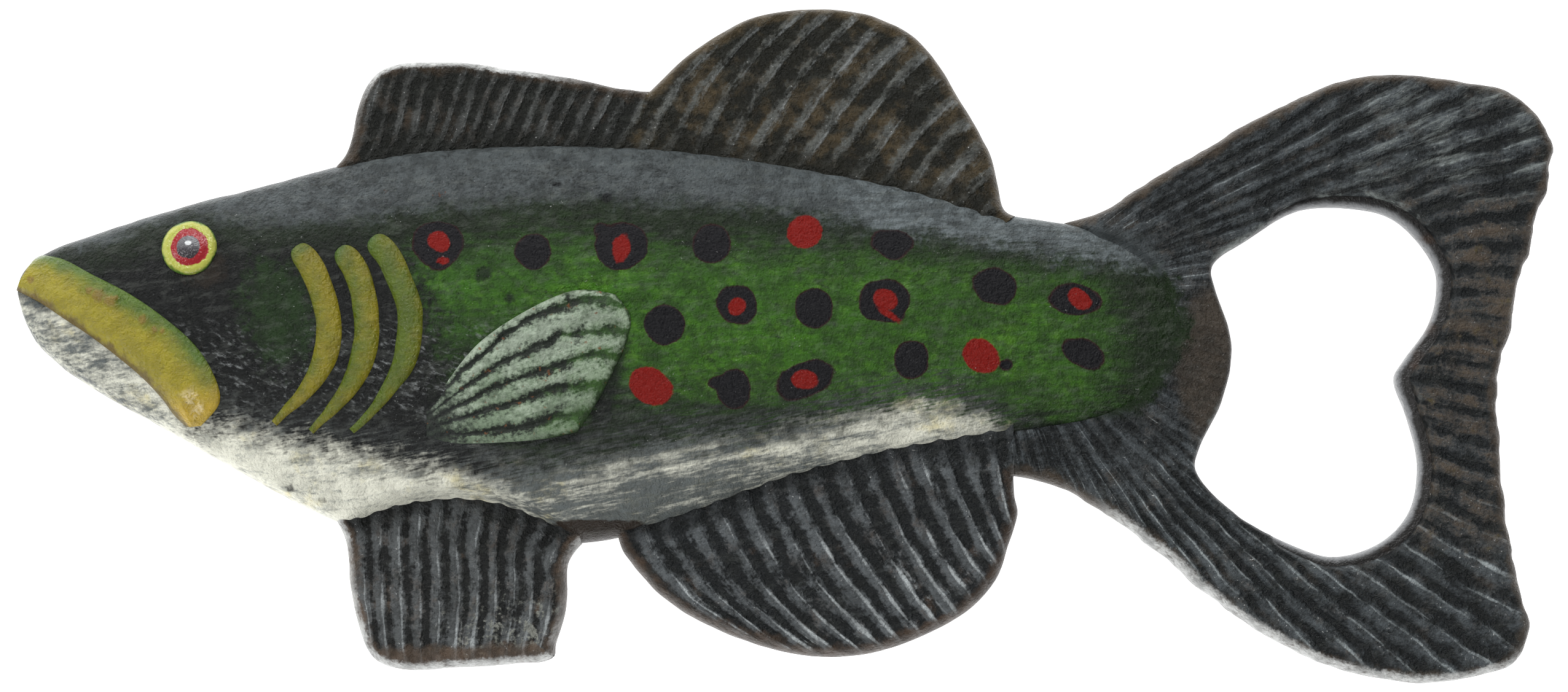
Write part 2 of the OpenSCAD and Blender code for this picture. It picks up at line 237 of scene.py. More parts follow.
def outlines(name):  # a plate's closed outlines, longest first
    pairs = plateWalls(name)
    key = lambda p: (round(p[0], 3), round(p[1], 3))
    meets = {}
    for a, b in pairs:
        meets.setdefault(key(a), []).append(key(b))
        meets.setdefault(key(b), []).append(key(a))
    loops, seen = [], set()
    for start in meets:
        if start in seen:
            continue
        loop, here = [start], start
        seen.add(start)
        while True:
            ahead = [n for n in meets[here] if n not in seen]
            if not ahead:
                break
            here = ahead[0]
            seen.add(here)
            loop.append(here)
        loops.append(np.array(loop))
    return sorted(loops, key=len, reverse=True)


bodyCorners = nodeTriangles("body").reshape(-1, 3)
stationX = np.unique(np.round(bodyCorners[:, 0], 3))
atStation = [bodyCorners[np.abs(bodyCorners[:, 0] - x) < 2e-3] for x in stationX]
bellyAt = np.array([p[:, 1].min() for p in atStation])
backAt = np.array([p[:, 1].max() for p in atStation])
crownAt = np.array([p[:, 2].max() for p in atStation])
bodyOutline = np.r_[np.c_[stationX, backAt], np.c_[stationX, bellyAt][::-1], [[stationX[0], backAt[0]]]]
bodyLength = stationX[-1] - stationX[0]


def bodyShare(x):  # share of the way round the half turn that spaces the stations
    return np.arccos(np.clip(1 - 2 * (x - stationX[0]) / bodyLength, -1, 1)) / np.pi


stationShare = bodyShare(stationX)


def stationLine(values):  # smooth line along the body through one value per station
    def line(x):
        number = np.interp(bodyShare(x), stationShare, np.arange(len(values)))
        return throughPoints(values[:, None], number / (len(values) - 1))[..., 0]
    return line


bellyLine, backLine, crownLine = stationLine(bellyAt), stationLine(backAt), stationLine(crownAt)
snout = bodyLow[0]


def fromSnout(points):  # places below are given in mm from the snout and from the middle line
    return np.asarray(points, float) + [snout, 0]


def exposedEdge(name, *touching):  # the run of a fin's outline that meets no other piece, left to right
    loop = outlines(name)[0]
    bare = np.ones(len(loop), bool)
    for line in touching:
        bare &= reachTo(loop[:, 0], loop[:, 1], line) > 0.03
    first = np.argmax(~bare)
    loop, bare = np.roll(loop, -first, 0), np.roll(bare, -first)
    ends = np.flatnonzero(np.diff(np.r_[0, bare.astype(int), 0]))
    runs = ends.reshape(-1, 2)
    start, stop = runs[np.argmax(runs[:, 1] - runs[:, 0])]
    edge = np.r_[loop, loop[:1]][start - 1:stop + 1]
    return edge if edge[0, 0] < edge[-1, 0] else edge[::-1]


closed = lambda loop: np.r_[loop, loop[:1]]
outlineOf = {name: closed(outlines(name)[0]) for name in
             ("spiny_dorsal_fin", "soft_dorsal_fin", "pelvic_fin", "anal_fin", "tail_fin")}
print("outlines read:", len(stationX), "stations along the body")


# Meshes.

def addMesh(name, points, faces, fields):
    # points in mm from the parting plane; doubles are merged so that seams and poles are closed
    points = np.asarray(points, float).reshape(-1, 3)
    first, where = np.unique(np.round(points, 4), axis=0, return_index=True, return_inverse=True)[1:]
    faces = where.ravel()[np.asarray(faces)]
    faces = faces[(faces[:, 0] != faces[:, 2]) & (faces[:, 1] != faces[:, 3])]
    same = np.stack([faces[:, k] == faces[:, (k + 1) % 4] for k in range(4)])
    quads = faces[same.sum(0) == 0]
    thin = faces[same.sum(0) == 1]
    hit = np.argmax(same[:, same.sum(0) == 1], 0)
    tris = np.stack([thin[np.arange(len(thin)), (hit + k) % 4] for k in (1, 2, 3)], -1)
    place = points[first]
    halves = np.r_[quads[:, [0, 1, 2]], quads[:, [0, 2, 3]], tris]
    volume = np.einsum("ij,ij->", place[halves[:, 0]], np.cross(place[halves[:, 1]], place[halves[:, 2]]))
    if volume < 0:  # turn it outside out
        quads, tris = quads[:, ::-1], tris[:, ::-1]
    place = (place + [0, 0, midZ]) * mm
    mesh = bpy.data.meshes.new(name)
    mesh.vertices.add(len(place))
    mesh.vertices.foreach_set("co", place.ravel())
    mesh.loops.add(quads.size + tris.size)
    mesh.loops.foreach_set("vertex_index", np.r_[quads.ravel(), tris.ravel()])
    mesh.polygons.add(len(quads) + len(tris))
    starts = np.r_[np.arange(len(quads)) * 4, quads.size + np.arange(len(tris)) * 3]
    mesh.polygons.foreach_set("loop_start", starts)
    mesh.update(calc_edges=True)
    mesh.polygons.foreach_set("use_smooth", np.ones(len(mesh.polygons), bool))
    for field, values in fields.items():
        store = mesh.attributes.new(field, "FLOAT", "POINT")
        store.data.foreach_set("value", np.ascontiguousarray(values.ravel()[first], np.float32))
    piece = bpy.data.objects.new(name, mesh)
    bpy.context.collection.objects.link(piece)
    print(name, len(halves), "triangles,", round(abs(volume) / 6 / 1000, 2), "cm3")
    return piece


def gridFaces(rows, columns, wrap=False):  # quads of a grid, joined round its columns if asked
    i, j = np.meshgrid(np.arange(rows - 1), np.arange(columns if wrap else columns - 1), indexing="ij")
    k = (j + 1) % columns
    return np.stack([i * columns + j, i * columns + k, (i + 1) * columns + k, (i + 1) * columns + j],
                    -1).reshape(-1, 4)


def sheetSolid(x, y, top, bottom, wrap=False):
    # A grid's top and bottom skins, joined by walls round its border; the walls vanish where they meet.
    rows, columns = x.shape
    count = rows * columns
    points = np.r_[np.stack([x, y, top], -1).reshape(-1, 3), np.stack([x, y, bottom], -1).reshape(-1, 3)]
    skin = gridFaces(rows, columns, wrap)
    j = np.arange(columns if wrap else columns - 1)
    k = (j + 1) % columns
    last = (rows - 1) * columns
    walls = [np.stack([k, j, j + count, k + count], -1),
             np.stack([last + j, last + k, last + k + count, last + j + count], -1)]
    if not wrap:
        i = np.arange(rows - 1) * columns
        walls.append(np.stack([i, i + columns, i + columns + count, i + count], -1))
        i = i + columns - 1
        walls.append(np.stack([i + columns, i, i + count, i + columns + count], -1))
    return points, np.r_[skin, skin[:, ::-1] + count, np.concatenate(walls)]


def addSheet(name, x, y, top, bottom, fields, wrap=False):
    points, faces = sheetSolid(x, y, top, bottom, wrap)
    return addMesh(name, points, faces, {k: np.r_[v.ravel(), v.ravel()] for k, v in fields.items()})


def rounded(distance, width=1.25, power=2.5):  # 0 at an edge and 1 from width mm inwards, a superellipse
    t = np.clip(distance / width, 0, 1)
    return (1 - (1 - t) ** power) ** (1 / power)


# Paint.

wear = {"soot": (0.006, 0.007, 0.006), "dust": (0.36, 0.39, 0.35), "roughness": 0.38, "coat": 0.12,
        "specular": 0.12}


def newPaint(name, roughness=wear["roughness"], coat=wear["coat"]):
    paint = bpy.data.materials.new(name)
    paint.use_nodes = True
    tree = paint.node_tree
    shader = tree.nodes["Principled BSDF"]
    shader.inputs["Roughness"].default_value = roughness
    shader.inputs["Coat Weight"].default_value = coat
    shader.inputs["Coat Roughness"].default_value = 0.1
    shader.inputs["Specular IOR Level"].default_value = wear["specular"]
    return paint


def brushFor(paint):
    # Short calls for the nodes of one material. A value is a number, a colour or another node's output.
    tree = paint.node_tree
    shader = tree.nodes["Principled BSDF"]

    def add(kind, inputs, out=0, **settings):
        node = tree.nodes.new("ShaderNode" + kind)
        for key, value in settings.items():
            setattr(node, key, value)
        for slot, value in inputs.items():
            if isinstance(value, bpy.types.NodeSocket):
                tree.links.new(value, node.inputs[slot])
            elif isinstance(value, tuple) and node.inputs[slot].type == "RGBA":
                node.inputs[slot].default_value = value + (1,)
            else:
                node.inputs[slot].default_value = value
        return node.outputs[out]

    class Brush:
        place = add("TexCoord", {}, out="Object")

        def field(self, name):  # a value stored on the mesh
            return add("Attribute", {}, out="Fac", attribute_name=name)

        def noise(self, size, detail=2.0, turn=0.0, seed=0):
            # about -1 to 1; size in mm, or (along, across)
            along, across = size if isinstance(size, tuple) else (size, size)
            spot = add("Mapping", {"Vector": self.place, "Rotation": (0, 0, math.radians(turn)),
                                   "Scale": (along * mm, across * mm, across * mm),
                                   "Location": (0.013 * seed, 0.007 * seed, 0)}, vector_type="TEXTURE")
            value = add("TexNoise", {"Vector": spot, "Scale": 1.0, "Detail": detail, "Roughness": 0.6})
            return add("Math", {0: value, 1: 4.0, 2: -2.0}, operation="MULTIPLY_ADD")

        def combed(self, across, along, detail=3.0, seed=0):  # noise drawn out along the rays of a fin
            spot = add("CombineXYZ", {0: across, 1: along, 2: 3.7 * seed})
            value = add("TexNoise", {"Vector": spot, "Scale": 1.0, "Detail": detail, "Roughness": 0.65})
            return add("Math", {0: value, 1: 4.0, 2: -2.0}, operation="MULTIPLY_ADD")

        def ridge(self, comb, sharp):  # 1 on each ray's crest and 0 between rays
            wave = add("Math", {0: self.times(comb, 2 * math.pi)}, operation="COSINE")
            return add("Math", {0: self.plus(0.5, wave, 0.5), 1: sharp}, operation="POWER")

        def plus(self, total, *terms):  # total + value * weight, for each value and weight that follow
            for value, weight in zip(terms[::2], terms[1::2]):
                total = add("Math", {0: value, 1: weight, 2: total}, operation="MULTIPLY_ADD")
            return total

        def times(self, product, *factors):
            for factor in factors:
                product = add("Math", {0: product, 1: factor}, operation="MULTIPLY")
            return product

        def cut(self, value, low, high):  # 0 below low, 1 above high, smooth between
            return add("MapRange", {0: value, 1: float(low), 2: float(high), 3: 0.0, 4: 1.0},
                       interpolation_type="SMOOTHSTEP")

        def over(self, under, colour, *shares):  # lay a colour over another, by the product of the shares
            return add("Mix", {0: self.times(*shares), 6: under, 7: colour}, out=2, data_type="RGBA")

        def weather(self, colour, soot, dust):  # uneven paint: soft dark mottling, then thin pale rubbing
            mottle = self.plus(self.noise(1.8, 4, seed=21), self.noise(0.6, 2, seed=23), 0.4)
            dark = self.cut(mottle, -0.4, 0.5)
            pale = self.cut(self.noise((2.2, 0.9), 4, turn=14, seed=22), 0.0, 0.7)
            colour = self.over(colour, wear["soot"], dark, soot)
            return self.over(colour, wear["dust"], pale, dust)

        def skin(self, fine, mid):  # relief of brushed paint on rough iron
            return self.plus(fine, mid, 0.8, self.noise(0.22, 2, seed=9), 0.5)

        def sparks(self, start):  # tiny painted glints, more of them where start is low
            return self.cut(self.noise(0.28, 1, seed=7), start, 1.2)

        def finish(self, colour, relief, depth=0.12, roughness=None):  # depth in mm
            tree.links.new(colour, shader.inputs["Base Color"])
            if roughness is not None:
                tree.links.new(roughness, shader.inputs["Roughness"])
            bump = add("Bump", {"Height": relief, "Distance": depth * mm, "Strength": 1.0}, out="Normal")
            tree.links.new(bump, shader.inputs["Normal"])
            tree.links.new(bump, shader.inputs["Coat Normal"])

    return Brush()


# The body.

flank = {
    "arch": 0.6,         # 0.5 is an ellipse across the flank
    "edgeWidth": 1.3,    # mm over which the flank turns down to the parting plane
    "rough": 0.09,       # mm of unevenness in the skin
    "biteDepth": 2.0,    # mm over which the belly ends above the pelvic fin
    "rows": 292, "columns": 166,
}
flankTints = {
    "darkGreen": (0.012, 0.022, 0.009), "midGreen": (0.03, 0.085, 0.012),
    "brightGreen": (0.048, 0.165, 0.008),
    "cheek": (0.016, 0.042, 0.009), "lime": (0.1, 0.24, 0.02), "head": (0.007, 0.008, 0.008),
    "headDust": (0.05, 0.056, 0.055),
    "back": (0.082, 0.095, 0.098), "backShade": (0.026, 0.03, 0.031), "rear": (0.011, 0.024, 0.007),
    "white": (0.88, 0.88, 0.75), "cream": (0.84, 0.78, 0.5), "slate": (0.055, 0.07, 0.075),
    "dusk": (0.17, 0.2, 0.21),
    "ink": (0.006, 0.006, 0.008), "red": (0.21, 0.005, 0.002), "wine": (0.03, 0.003, 0.004),
    "iron": (0.03, 0.022, 0.016), "rust": (0.12, 0.045, 0.02), "glint": (0.55, 0.57, 0.55),
    "dustAndSparkle": (0.3, 0.32, 0.32),
}
pelvicArc = [(35.7, -21.4), (38.4, -19.2), (42.4, -17.6), (46.9, -16.9), (51.4, -17.0),
             (55.9, -18.2), (59.9, -20.0), (63.9, -22.2)]
skinPits = [(51.9, 7.2, 1, 0.3), (54.8, 4.4, 0.8, 0.25), (59.8, 17.2, 0.5, 0.3), (65.3, 15.7, 0.7, 0.35),
            (67.8, 16.7, 0.3, 0.2), (24.6, 14.9, 0.7, 0.15), (22.7, 13.4, 0.4, 0.12),
            (80.1, 11.4, 0.5, 0.1), (94, -1.7, 0.8, 0.12), (109.3, -2.7, 0.8, 0.15),
            (30.7, -16.2, 0.5, 0.3), (34.2, -17.5, 0.4, 0.3), (63.4, 1.6, 0.8, 0.45)]
zoneLines = {  # height in mm at places along the body
    "back": [(0, 9.5), (10, 11), (19, 14.6), (25, 13.2), (35, 13), (45, 14.6), (60, 15.9), (75, 15.4),
             (85, 14.6), (95, 13.2), (105, 12), (115, 10.2), (129, 8.4)],
    "belly": [(0, 7), (7, 4.8), (13, 1.6), (17.2, -2.6), (19.5, -8.6), (24, -8.2), (29, -9.4), (35, -10.8),
              (45, -12.9), (55, -13.4), (63, -12.6), (69, -10.8), (85, -9.0), (95, -6.6), (103, -5.8),
              (107, -7.6), (112, -11), (118, -18)],
    "headEnd": [(-22, 60), (-13, 55), (-10, 52), (-5, 48), (0, 47), (5, 46), (10, 42), (14, 38), (22, 34)],
}
# place, half width, half height, turn in degrees, then half width and height of the red, and its offset
spots = [(46.9, 10.5, 2.9, 2.5, 0, 1.25, 1.1, 0.2, 0.2), (47.3, 8.7, 1.6, 1.2, 30, 0.8, 0.5, 0.1, -0.2),
         (57.3, 9.7, 2.1, 2, 0, 0, 0, 0, 0), (67, 10.2, 2.9, 2.7, 20, 1, 1.6, 0, -0.2),
         (64.8, 12.1, 0.9, 0.8, 0, 0, 0, 0, 0), (76.8, 10.5, 2.1, 2.2, 0, 0, 0, 0, 0),
         (87.1, 11.9, 0, 0, 0, 1.9, 1.9, 0, 0), (96.6, 10.8, 2.3, 1.5, 0, 0, 0, 0, 0),
         (96.9, 10, 1.4, 1.2, 0, 0, 0, 0, 0), (71.8, 1.5, 2.2, 2.2, -20, 0, 0, 0, 0),
         (79.7, 3.7, 2.3, 2.1, -20, 0.9, 1.1, 0, -0.2), (88.1, 3.4, 2.1, 2.3, 0, 0, 0, 0, 0),
         (95.8, 4.4, 2.9, 2.4, 10, 1.4, 1.2, 0.1, 0.1), (96.1, 2.8, 1.9, 0.9, 0, 1.3, 0.35, 0, 0.1),
         (108, 6.1, 2.5, 2, -20, 0, 0, 0, 0), (116.8, 4.7, 3, 1.8, -5, 1.5, 1.1, 0.5, 0),
         (70.3, -5.2, 0, 0, 0, 2.4, 1.9, 0, 0), (79.3, -5.4, 1.9, 2.2, 0, 0, 0, 0, 0),
         (77.8, -4.8, 1.3, 0.9, 0, 0, 0, 0, 0), (87.1, -4.4, 3.4, 2, 22, 1.6, 1.1, 0, 0),
         (98.8, -2.1, 1.9, 2.1, 0, 0, 0, 0, 0), (106.5, -1.7, 0, 0, 0, 2.1, 1.85, 0, 0),
         (117.8, -1.3, 2.5, 1.6, -25, 0, 0, 0, 0), (109.2, -2.6, 0.7, 0.6, 0, 0, 0, 0, 0)]


def zone(name, at):  # value at a place along one of the lines above
    line = np.array(zoneLines[name], float)
    return np.interp(at, line[:, 0], line[:, 1])


def pelvicLine(x):
    arc = fromSnout(throughPoints(pelvicArc, np.linspace(0, 1, 80)))
    return np.interp(x, arc[:, 0], arc[:, 1], left=-60, right=-60)


def flankHeight(x, y):
    # Plate with a rounded edge, plus an arch across the flank whose crown follows the CAD body.
    low, high = bellyLine(x), backLine(x)
    half = np.maximum((high - low) / 2, 0.02)
    s = np.clip((y - (low + high) / 2) / half, -1, 1)
    edge = rounded((1 - np.abs(s)) * half, np.minimum(flank["edgeWidth"], half))
    dome = (crownLine(x) - plateHalf) * np.maximum(1 - s * s, 0) ** flank["arch"]
    bite = step(0, flank["biteDepth"], pelvicLine(x) + 1 - y)
    height = plateHalf * edge + dome * (1 - bite) - 0.25 * bite * edge
    for px, py, radius, depth in skinPits:
        height = height - depth * np.exp(-(((x - snout - px) ** 2 + (y - py) ** 2) / radius ** 2) ** 2)
    return height + flank["rough"] * roughCast(x, y) * edge


def ovalDepth(x, y, centre, wide, high, turn=0):  # mm inside an oval, below zero outside it
    if wide == 0:
        return np.full(np.shape(x), -9.0)
    c, s = math.cos(math.radians(turn)), math.sin(math.radians(turn))
    dx, dy = x - snout - centre[0], y - centre[1]
    return (1 - np.hypot((dx * c + dy * s) / wide, (dy * c - dx * s) / high)) * min(wide, high)


def flankFields(x, y):
    # Where each colour lies: mm inside its edge, or a share from 0 to 1. The shader roughens the edges.
    at = x - snout
    ink = red = np.full(x.shape, -9.0)
    for px, py, wide, high, turn, redWide, redHigh, dx, dy in spots:
        ink = np.maximum(ink, ovalDepth(x, y, (px, py), wide, high, turn))
        red = np.maximum(red, ovalDepth(x, y, (px + dx, py + dy), redWide, redHigh, turn - 30))
    wobble = 0.14 * grain(x, y, 1.3, 11) + 0.05 * grain(x, y, 0.7, 12)
    headSide = zone("headEnd", y) - at
    glow = step(58, 74, at) * (1 - 0.15 * step(90, 104, at) - 0.85 * step(117, 125, at))
    glow = glow * np.exp(-((y - 1.5 + 0.02 * (at - 90)) / 8.5) ** 4)
    glow = 0.85 * glow + 0.75 * step(39, 47, at) * (1 - step(62, 72, at)) * np.exp(-((y - 5) / 6) ** 2)
    rearShade = np.exp(-((at - 66.5 - 0.25 * np.minimum(y + 2, 0)) / 1.6) ** 2)
    rearShade = rearShade * step(5.5, 2, y) * step(-12, -8, y)
    lowShade = 0.9 * np.exp(-((y + 10.9) / 0.8) ** 2) * step(44, 48, at) * step(66, 62, at)
    pit = np.zeros(x.shape)
    for px, py, radius, depth in skinPits:
        pit = np.maximum(pit, 4 * depth * np.exp(-((at - px) ** 2 + (y - py) ** 2) / radius ** 2))
    under = zone("belly", at) - y
    grey = 1.15 * step(46, 58, at) * step(104, 74, at) + 0.35 * step(2.5, 7.5, under) * step(56, 66, at)
    grey = grey + 0.1 * step(84, 100, at) + 0.85 * step(21, 12, at) + 0.5 * step(3, 0, under)
    return {
        "ink": ink + wobble, "red": red + wobble, "back": y - zone("back", at), "head": headSide,
        "belly": under, "glow": glow, "dim": np.maximum(rearShade, lowShade), "snoutward": at,
        "cheek": ovalDepth(x, y, (29.5, 3.2), 4.8, 7, 15), "pit": pit,
        # shadowBelowEye marks a painted shadow below and right of the eye
        "shadowBelowEye": ovalDepth(x, y, (20.6, 8.4), 4.2, 3.2, -20), "shade": grey,
        # gap marks a painted shade in the notch between the pelvic and anal fins
        "gap": step(57, 61, at) * step(72, 67, at) * step(-19.2, -20.2, y),
        "sparkle": np.exp(-((y + 3.5) / 5.5) ** 4) * step(13, 19, at) * step(58, 50, at),
        "rusty": np.exp(-((at - 45) / 4.5) ** 2 - ((y - 16.6) / 1.8) ** 2),
    }


def makeBody():
    # Stations from snout to tail and points from belly to back are both spaced by a cosine. The top skin
    # follows flankHeight and the bottom skin is its mirror image.
    share = np.linspace(0.0005, 0.9995, flank["rows"])[:, None]
    x = stationX[0] + bodyLength * (0.45 * share + 0.55 * (1 - np.cos(np.pi * share)) / 2)
    turn = np.linspace(0, 1, flank["columns"])[None, :]
    s = 0.5 * (2 * turn - 1) - 0.5 * np.cos(np.pi * turn)
    low, high = bellyLine(x), backLine(x)
    y = (low + high) / 2 + s * (high - low) / 2
    x = np.broadcast_to(x, y.shape)
    z = flankHeight(x, y)
    z[:, 0] = z[:, -1] = 0
    fields = flankFields(x, y)
    blunt = 0.35 * step(6, 0, x - snout)  # the snout is a little blunter than the CAD body
    unevenX, unevenY = [0.06 * grain(x, y, 1.7, seed) for seed in (5, 6)]
    piece = addSheet("fishBody", x + blunt + unevenX, y + unevenY, z, -z, fields)
    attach(piece, "root")
    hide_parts("body")
    piece.data.materials.append(paintFlank())


def paintFlank():
    tint = flankTints
    paint = newPaint("flankPaint")
    b = brushFor(paint)
    fine, mid = b.noise(0.45, 3), b.noise(1.6, 3, seed=1)
    streak, blotch = b.noise((6, 0.7), 4, turn=2, seed=2), b.noise(6, 3, seed=3)
    ragged = b.plus(mid, fine, 0.6)
    glow = b.plus(b.field("glow"), streak, 0.26, blotch, 0.22, ragged, 0.09)
    colour = b.over(tint["darkGreen"], tint["midGreen"], b.cut(glow, 0.0, 0.5))
    colour = b.over(colour, tint["brightGreen"], b.cut(glow, 0.4, 1.25))
    soot = b.cut(b.plus(b.noise((3, 0.5), 4, turn=-4, seed=10), fine, 0.4), 0.35, 1.3)
    colour = b.over(colour, tint["darkGreen"], soot, 0.7)
    scratch = b.cut(b.plus(b.noise((1.6, 0.25), 3, turn=10, seed=13), mid, 0.5), 0.75, 1.5)
    colour = b.over(colour, tint["lime"], scratch, b.cut(b.field("glow"), 0.15, 0.6), 0.7)
    patchy = b.plus(b.noise(1.1, 4, turn=30, seed=14), blotch, 0.5, streak, 0.3)
    colour = b.over(colour, tint["lime"], b.cut(patchy, -0.1, 0.9), b.cut(glow, 0.1, 0.9), 0.4)
    worn = b.plus(b.noise((1.5, 0.8), 4, turn=-15, seed=15), fine, 0.3, blotch, 0.35)
    colour = b.over(colour, tint["darkGreen"], b.cut(worn, 0.1, 0.9), 0.5)
    colour = b.over(colour, tint["rear"], b.cut(b.plus(b.field("snoutward"), ragged, 2.2), 121, 127))
    flecks = b.times(b.cut(b.plus(scratch, patchy, 0.5), 0.5, 1.1), b.cut(b.field("snoutward"), 112, 122))
    colour = b.over(colour, tint["lime"], flecks, 0.5)
    colour = b.over(colour, tint["head"], b.cut(b.plus(b.field("head"), ragged, 3.0), -4, 3))
    # painted sparkle and grey dust: light flecks over the lower head and cheek
    sparkle = b.times(b.cut(b.plus(b.noise((0.9, 0.42), 4, turn=-20, seed=12), mid, 0.4), 0.05, 1.3),
                      b.field("sparkle"))
    colour = b.over(colour, tint["dustAndSparkle"], sparkle, 0.9)
    colour = b.over(colour, tint["cheek"], b.cut(b.plus(b.field("cheek"), ragged, 1.8), -0.5, 2.5), 0.8)
    # painted shadow: dark brown below and right of the eye
    colour = b.over(colour, tint["iron"], b.cut(b.plus(b.field("shadowBelowEye"), ragged, 0.8), 0.2, 1.8), 0.8)
    back = b.plus(b.field("back"), ragged, 1.1, streak, 0.5)
    colour = b.over(colour, tint["darkGreen"], b.cut(back, -5, -0.8), 0.85)
    grey = b.over(tint["back"], tint["dusk"], b.cut(b.plus(streak, mid, 0.5, fine, 0.4), -0.2, 1.5), 0.35)
    grey = b.over(grey, tint["backShade"], b.cut(b.plus(fine, ragged, 0.5, blotch, 0.7), -0.2, 1.5), 0.8)
    chips = b.cut(b.plus(b.noise(0.7, 2, seed=16), blotch, 0.5), 1.15, 1.5)
    grey = b.over(grey, tint["rust"], chips, 0.4)
    colour = b.over(colour, grey, b.cut(back, -1.6, 1.2))
    # painted shadow behind and under the pectoral fin, laid in the spots' black
    colour = b.over(colour, tint["ink"], b.cut(b.plus(b.field("dim"), fine, 0.25), 0.3, 0.9), 0.75)
    dust, hair = b.noise((2.4, 0.3), 4, turn=12, seed=4), b.noise((6, 1.1), 5, turn=10, seed=5)
    rearBack = b.times(b.cut(back, -2.5, 1.0), b.cut(b.plus(b.field("snoutward"), blotch, 4.0), 82, 98))
    colour = b.over(colour, tint["dusk"], rearBack, b.cut(b.plus(streak, dust, 0.6, fine, 0.4), -1.1, 1.1))
    belly = b.plus(b.field("belly"), ragged, 1.3, dust, 1.5)
    pale = b.over(tint["white"], tint["cream"], b.cut(b.plus(blotch, mid, 0.5), 0.1, 1.0))
    grime = b.plus(b.field("shade"), dust, 0.55, hair, 0.9, blotch, 0.35, fine, 0.25)
    pale = b.over(pale, tint["slate"], b.cut(grime, -0.1, 1.6), 0.92)
    pale = b.over(pale, tint["dusk"], b.cut(b.plus(hair, blotch, 0.5, fine, 0.5), -0.2, 1.3), 0.45)
    colour = b.over(colour, tint["headDust"], b.cut(belly, -4.5, 0.5), b.cut(dust, -0.6, 0.6))
    colour = b.over(colour, pale, b.cut(belly, -0.8, 3.4))
    # painted shade: dark brown in the notch between the pelvic and anal fins
    colour = b.over(colour, tint["iron"], b.cut(b.plus(b.field("gap"), mid, 0.3), 0.3, 0.7))
    colour = b.weather(colour, b.plus(0.2, b.cut(belly, 4.0, 0.0), 0.22), 0.07)
    colour = b.over(colour, tint["wine"], b.cut(b.plus(b.field("ink"), fine, 0.07), -0.1, 0.1))
    colour = b.over(colour, tint["ink"], b.cut(b.plus(b.field("ink"), fine, 0.08, mid, 0.08), -0.1, 0.25))
    colour = b.over(colour, tint["red"], b.cut(b.plus(b.field("red"), fine, 0.08), -0.1, 0.12))
    colour = b.over(colour, tint["ink"], b.cut(b.plus(b.field("pit"), fine, 0.2), 0.3, 0.9), 0.75)
    rust = b.plus(b.noise(0.9, 2, seed=6), b.field("rusty"), 0.7)
    colour = b.over(colour, tint["rust"], b.cut(rust, 1.15, 1.4), 0.6)
    glint = b.times(b.sparks(0.85), b.cut(b.noise(7, 1, seed=8), -0.2, 0.8))
    colour = b.over(colour, tint["glint"], glint, 0.45)
    relief = b.skin(fine, mid)
    b.finish(colour, relief, depth=0.09, roughness=b.plus(0.34, mid, 0.06))
    return paint


makeBody()


# The fins.

fins = {
    "spinyDorsal": {
        "node": "spiny_dorsal_fin", "touching": ["soft_dorsal_fin"], "up": 1,
        "root": (35.3, 65.4), "corners": ((39.6, 30.0), (71.5, 28.6)), "rays": 17, "rayHeight": 0.24,
        "wobble": 0.1,
        "dark": (0.009, 0.01, 0.008), "crest": (0.078, 0.083, 0.08), "brown": (0.055, 0.038, 0.024),
        "brownAt": (0.1, 1.1), "crestAt": (0.2, 1.2), "sharp": 1.3, "highlightRim": (40, 56), "wall": 1.0,
        "accent": 0.2,
    },
    "softDorsal": {
        "node": "soft_dorsal_fin", "touching": ["spiny_dorsal_fin"], "up": 1,
        "root": (65.4, 108.6), "corners": ((78.6, 34.9), (110.4, 14.2)), "rays": 15, "rayHeight": 0.3,
        "wobble": 0.1,
        "dark": (0.012, 0.012, 0.008), "crest": (0.12, 0.128, 0.12), "brown": (0.09, 0.066, 0.034),
        "brownAt": (-0.2, 0.8), "crestAt": (0.3, 1.3), "sharp": 1.6, "highlightRim": None, "wall": 0.0,
        "accent": 0.3,
    },
    "pelvicFin": {
        "node": "pelvic_fin", "touching": [], "up": -1,
        "root": (36.2, 62.2), "corners": ((38.9, -33.2), (59.3, -35.0)), "rays": 12, "rayHeight": 0.34,
        "wobble": 0.05,
        "dark": (0.011, 0.012, 0.012), "crest": (0.115, 0.125, 0.128), "brown": (0.12, 0.085, 0.06),
        "brownAt": (0.4, 1.2), "crestAt": (0.1, 0.9), "sharp": 0.8, "highlightRim": (30, 56), "wall": 1.0,
        "accent": 0.8,
    },
    "analFin": {
        "node": "anal_fin", "touching": ["tail_fin"], "up": -1,
        "root": (67.2, 110.0), "corners": ((81.9, -33.2), (110.4, -19.0)), "rays": 16, "rayHeight": 0.34,
        "wobble": 0.08,
        "dark": (0.01, 0.012, 0.013), "crest": (0.115, 0.128, 0.135), "brown": (0.08, 0.052, 0.034),
        "brownAt": (0.3, 1.2), "crestAt": (0.15, 1.0), "sharp": 1.0, "highlightRim": None, "wall": 0.08,
        "accent": 0.95,
    },
}
finShape = {"along": 236, "outward": 78, "wallWidth": 1.2, "rootInset": 2.0, "rough": 0.08}
# pale colour of painted glints and of painted reflections on the walls
paintedHighlight = (0.62, 0.63, 0.62)
finRayHighlight = (0.5, 0.54, 0.55)  # painted highlight along one side of each ray, broken up like dry brushing
finBlister = (0.3, 0.31, 0.27)


